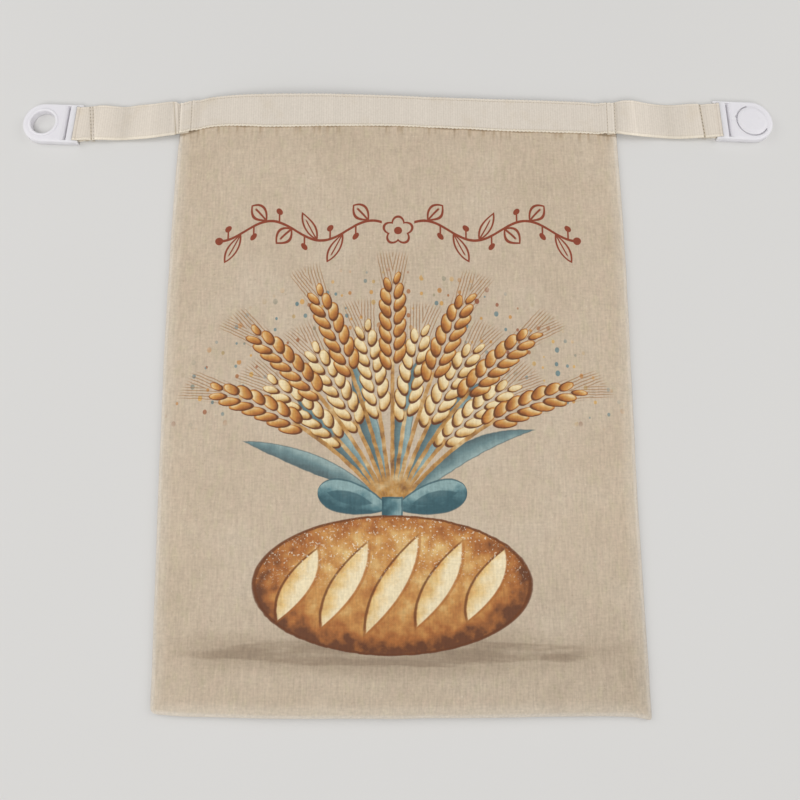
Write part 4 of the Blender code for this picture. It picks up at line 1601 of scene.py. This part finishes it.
def canvas_material(name, printed):
    """Waxed cotton canvas, with or without the print."""
    p = Painter(name, CANVAS)
    cloud = p.noise(38.0, 3.0)
    grain = p.noise(1.7, 3.0)
    warp = p.noise(1.2, 2.0, (1.0, 0.12, 1.0))
    weft = p.noise(1.0, 2.0, (0.14, 1.0, 1.0))
    p.paint(CANVAS_PALE, cloud.step(0.45, 0.75) * 0.30)
    p.paint(CANVAS_DEEP, cloud.step(0.50, 0.25) * 0.30)
    fleck = p.noise(2.0, 1.0)
    p.paint(FLECK_DARK, fleck.step(0.70, 0.76) * 0.35)
    p.paint(FLECK_PALE, fleck.step(0.27, 0.21) * 0.35)
    tint = p.noise(4.5, 2.0, (1.0, 0.5, 1.0))
    p.paint(CANVAS_PINK, tint.step(0.52, 0.72) * 0.25)
    p.paint(CANVAS_GREEN, tint.step(0.48, 0.28) * 0.25)
    if printed:
        print_design(p)
        # Paler rims along the seams: partly wear, where the cream canvas shows through, partly
        # painted sheen on the rolled edges
        rim = p.field("rim") + (grain - 0.5) * 1.6
        p.paint(RIM_WORN_SHEEN, rim.step(11.0, 2.0) * 0.50)
        p.paint(RIM_PALE_SHEEN, rim.step(3.4, 1.0) * 0.60)
        below = p.field("below_band")
        gather = p.noise(3.4, 1.0, (1.0, 0.08, 1.0))
        p.paint(GATHER_SHADE, gather.step(0.50, 0.68) * below.step(9.0, 0.5) * 0.55)
        p.paint(BAND_SHADE, below.step(1.0, 0.3) * 0.45)
    threads = (warp - 0.5) * 0.38 + (weft - 0.5) * 0.20 + (grain - 0.5) * 0.34 + 1.0
    p.shade(threads - p.y.step(*FOOT_SHADE_SPAN) * (p.x * FOOT_SHADE_SLOPE + FOOT_SHADE))
    height = weave(p, WEAVE_PITCH) * 0.02 + (warp + weft) * 0.05 + grain * 0.04
    if printed:
        streak = p.noise(4.2, 2.0, (1.0, 0.10, 1.0))
        height = height + streak * p.field("below_band").step(26.0, 0.0) * 1.6
    p.bump(height, 0.9)
    rough = 0.56 + (cloud - 0.5) * 0.2 + (grain - 0.5) * 0.15
    return p.finish(
        Roughness=rough, Specular_IOR_Level=0.30, Sheen_Weight=0.12, Sheen_Roughness=0.5
    )


def webbing_material(name, stitch_rows):
    """Undyed cotton webbing with ribs across it, a paler selvedge and needle holes, with
    painted shade between the ribs, in its troughs and in the needle holes, and a painted
    highlight on the selvedges.
    """
    p = Painter(name, WEB)
    tone = p.field("tone") * MM
    seam = p.field("seam") * MM
    u, v = p.field("along"), p.field("across")
    pitch = RIB_PITCH / MM
    rib = abs((u * (math.pi / pitch)).cos())
    yarn = (v * (math.pi / WEB_THREAD_PITCH)).sin()
    number = (u / pitch + 0.5).floor()
    chance = ((number * 12.9898).sin() * 43758.5).fract()
    edge = abs(v).step(10.5, 11.0)
    fluff = p.noise(1.2, 3.0)
    cloud = p.noise(14.0, 2.0)
    p.paint(RIB_SHADE, rib.step(0.42, 0.05) * 0.45 * (1.0 - edge))
    # Paler selvedges, the lower one more: partly their own paler colour, partly a painted
    # highlight
    p.paint(SELVEDGE_PALE_HIGHLIGHT, v.step(-10.5, -11.0) * 0.55 + v.step(10.5, 11.0) * 0.25)
    p.paint(SELVEDGE_LINE, abs(v).step(9.9, 10.2) * abs(v).step(10.6, 10.3) * 0.30)
    # Painted shade in the troughs across the webbing, broken up by the fluff
    p.paint(WEB_TROUGH_SHADE, tone.step(-0.04, -0.16) * fluff.step(0.30, 0.52) * 0.75)
    p.paint(WEB_DEEP, cloud.step(0.55, 0.80) * 0.35)
    # Needle holes, painted as dark shade, along the stitch columns and the stitch rows
    stitch = STITCH_PITCH / MM
    hole = abs((v / stitch).fract() - 0.5).step(0.20, 0.10) * seam.step(0.1, 0.9)
    here = abs((u / stitch).fract() - 0.5).step(0.17, 0.08)
    for row in stitch_rows:
        hole = hole.most(here * abs(v - row / MM).step(0.34, 0.16) * 0.5)
    p.paint(NEEDLE_HOLE_SHADE, hole * 0.75)
    # The tone adds painted light on ridges and painted shade in troughs; chance, fluff and yarn
    # vary the colour from rib to rib, at random and along the weave
    shade = (chance - 0.5) * 0.035 + (fluff - 0.5) * 0.24 + yarn * 0.02 + tone * 0.9 + 1.0
    p.shade(shade)
    height = rib * 0.06 + yarn * rib * 0.02 + fluff * 0.05 - hole * 0.15
    p.bump(height, 0.8)
    return p.finish(
        Roughness=0.85, Specular_IOR_Level=0.15, Sheen_Weight=0.25, Sheen_Roughness=0.6
    )


def plastic_material():
    """White moulded plastic with a faint unevenness."""
    p = Painter("white_plastic", PLASTIC)
    haze = p.noise(7.0, 2.0)
    fine = p.noise(0.5, 2.0)
    p.paint(PLASTIC_HAZE, haze.step(0.5, 0.8) * 0.25)
    p.bump(haze * 0.02 + fine * 0.004, 0.5)
    rough = 0.30 + (haze - 0.5) * 0.12 + (fine - 0.5) * 0.06
    return p.finish(
        Roughness=rough, Specular_IOR_Level=0.45, Subsurface_Weight=0.70,
        Subsurface_Radius=(1.0, 1.0, 1.0), Subsurface_Scale=0.003,
    )


def thread_material(name, colour):
    """Twisted sewing thread."""
    p = Painter(name, colour)
    u = p.field("along")
    twist = (u * (2 * math.pi / TWIST_PITCH) + p.x * 3.0 + p.y * 3.0).sin()
    # Painted light and shade along the twist: lighter on each ply, darker between them
    p.shade(twist * 0.08 + 1.0)
    p.bump(twist * 0.03, 0.8)
    return p.finish(Roughness=0.8, Specular_IOR_Level=0.25, Sheen_Weight=0.2)


def floor_material():
    """A plain pale table top."""
    p = Painter("pale_table", TABLE)
    cloud = p.noise(160.0, 2.0)
    fine = p.noise(1.5, 2.0)
    p.shade((cloud - 0.5) * 0.02 + (fine - 0.5) * 0.008 + 1.0)
    return p.finish(Roughness=0.75, Specular_IOR_Level=0.2)


# Stage

def build_floor():
    shape = bmesh.new()
    bmesh.ops.create_grid(shape, x_segments=4, y_segments=4, size=TABLE_HALF)
    floor = solid("table_top", shape)
    floor.location.z = TABLE_Z
    floor.data.materials.append(floor_material())


def build_light(name, place, size, power):
    """A soft round light that points at the middle of the bag."""
    light = bpy.data.lights.new(name, "AREA")
    light.shape = "DISK"
    light.size = size
    light.energy = power
    light.color = LIGHT_COLOUR
    made = new_object(name, light)
    made.location = place
    made.rotation_euler = (-Vector(place)).to_track_quat("-Z", "Y").to_euler()


def build_camera():
    tilt = math.radians(CAMERA_TILT)
    data = bpy.data.cameras.new("camera")
    data.sensor_width = SENSOR
    data.lens = LENS
    data.clip_start = 0.01
    data.clip_end = 20.0
    camera = new_object("camera", data)
    back = Vector((0.0, -math.sin(tilt), math.cos(tilt)))
    camera.location = Vector(LOOK_AT) + back * CAMERA_DISTANCE
    camera.rotation_euler = (tilt, 0.0, 0.0)
    bpy.context.scene.camera = camera


def build_world():
    world = bpy.data.worlds.new("soft_room")
    bpy.context.scene.world = world
    world.use_nodes = True
    background = world.node_tree.nodes["Background"]
    background.inputs["Color"].default_value = (1.0, 1.0, 1.0, 1.0)
    background.inputs["Strength"].default_value = ROOM_LIGHT


def dress(made, material, slot, *nodes):
    """Give a piece its material and the root body, and hide the nodes that it stands for; its
    slot is not used.
    """
    made.data.materials.clear()
    made.data.materials.append(material)
    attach(made, "root")
    if nodes:
        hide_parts(*nodes)
    return made


def main():
    bpy.context.scene.view_settings.view_transform = "Standard"
    build_camera()
    build_world()
    for light in LIGHTS:
        build_light(*light)
    build_floor()

    printed_canvas = canvas_material("printed_canvas", True)
    plain_canvas = canvas_material("plain_canvas", False)
    band_cotton = webbing_material("band_cotton", BAND_STITCH_ROWS)
    tail_cotton = webbing_material("tail_cotton", ())
    plastic = plastic_material()
    cotton_thread = thread_material("cream_thread", CREAM_THREAD)

    front = dress(build_front_cloth(), printed_canvas, "waxed_canvas", "front_panel")
    back = dress(build_back_cloth(), plain_canvas, "waxed_canvas", "back_panel")
    band = dress(build_front_band(), band_cotton, "cotton_webbing", "front_band")
    left_tail = dress(build_tail(LEFT), tail_cotton, "cotton_webbing", "left_strap")
    right_tail = dress(build_tail(RIGHT), tail_cotton, "cotton_webbing", "right_strap")
    left_half = build_buckle(LEFT, socket_head())
    dress(left_half, plastic, "white_plastic", "left_buckle")
    right_half = build_buckle(RIGHT, button_head())
    dress(right_half, plastic, "white_plastic", "right_buckle")
    band_thread = dress(band_stitches(), cotton_thread, "cotton_webbing")
    hem_thread = dress(hem_stitches(), cotton_thread, "waxed_canvas")
    left_thread = dress(tail_stitches(LEFT), cotton_thread, "cotton_webbing")
    right_thread = dress(tail_stitches(RIGHT), cotton_thread, "cotton_webbing")


main()
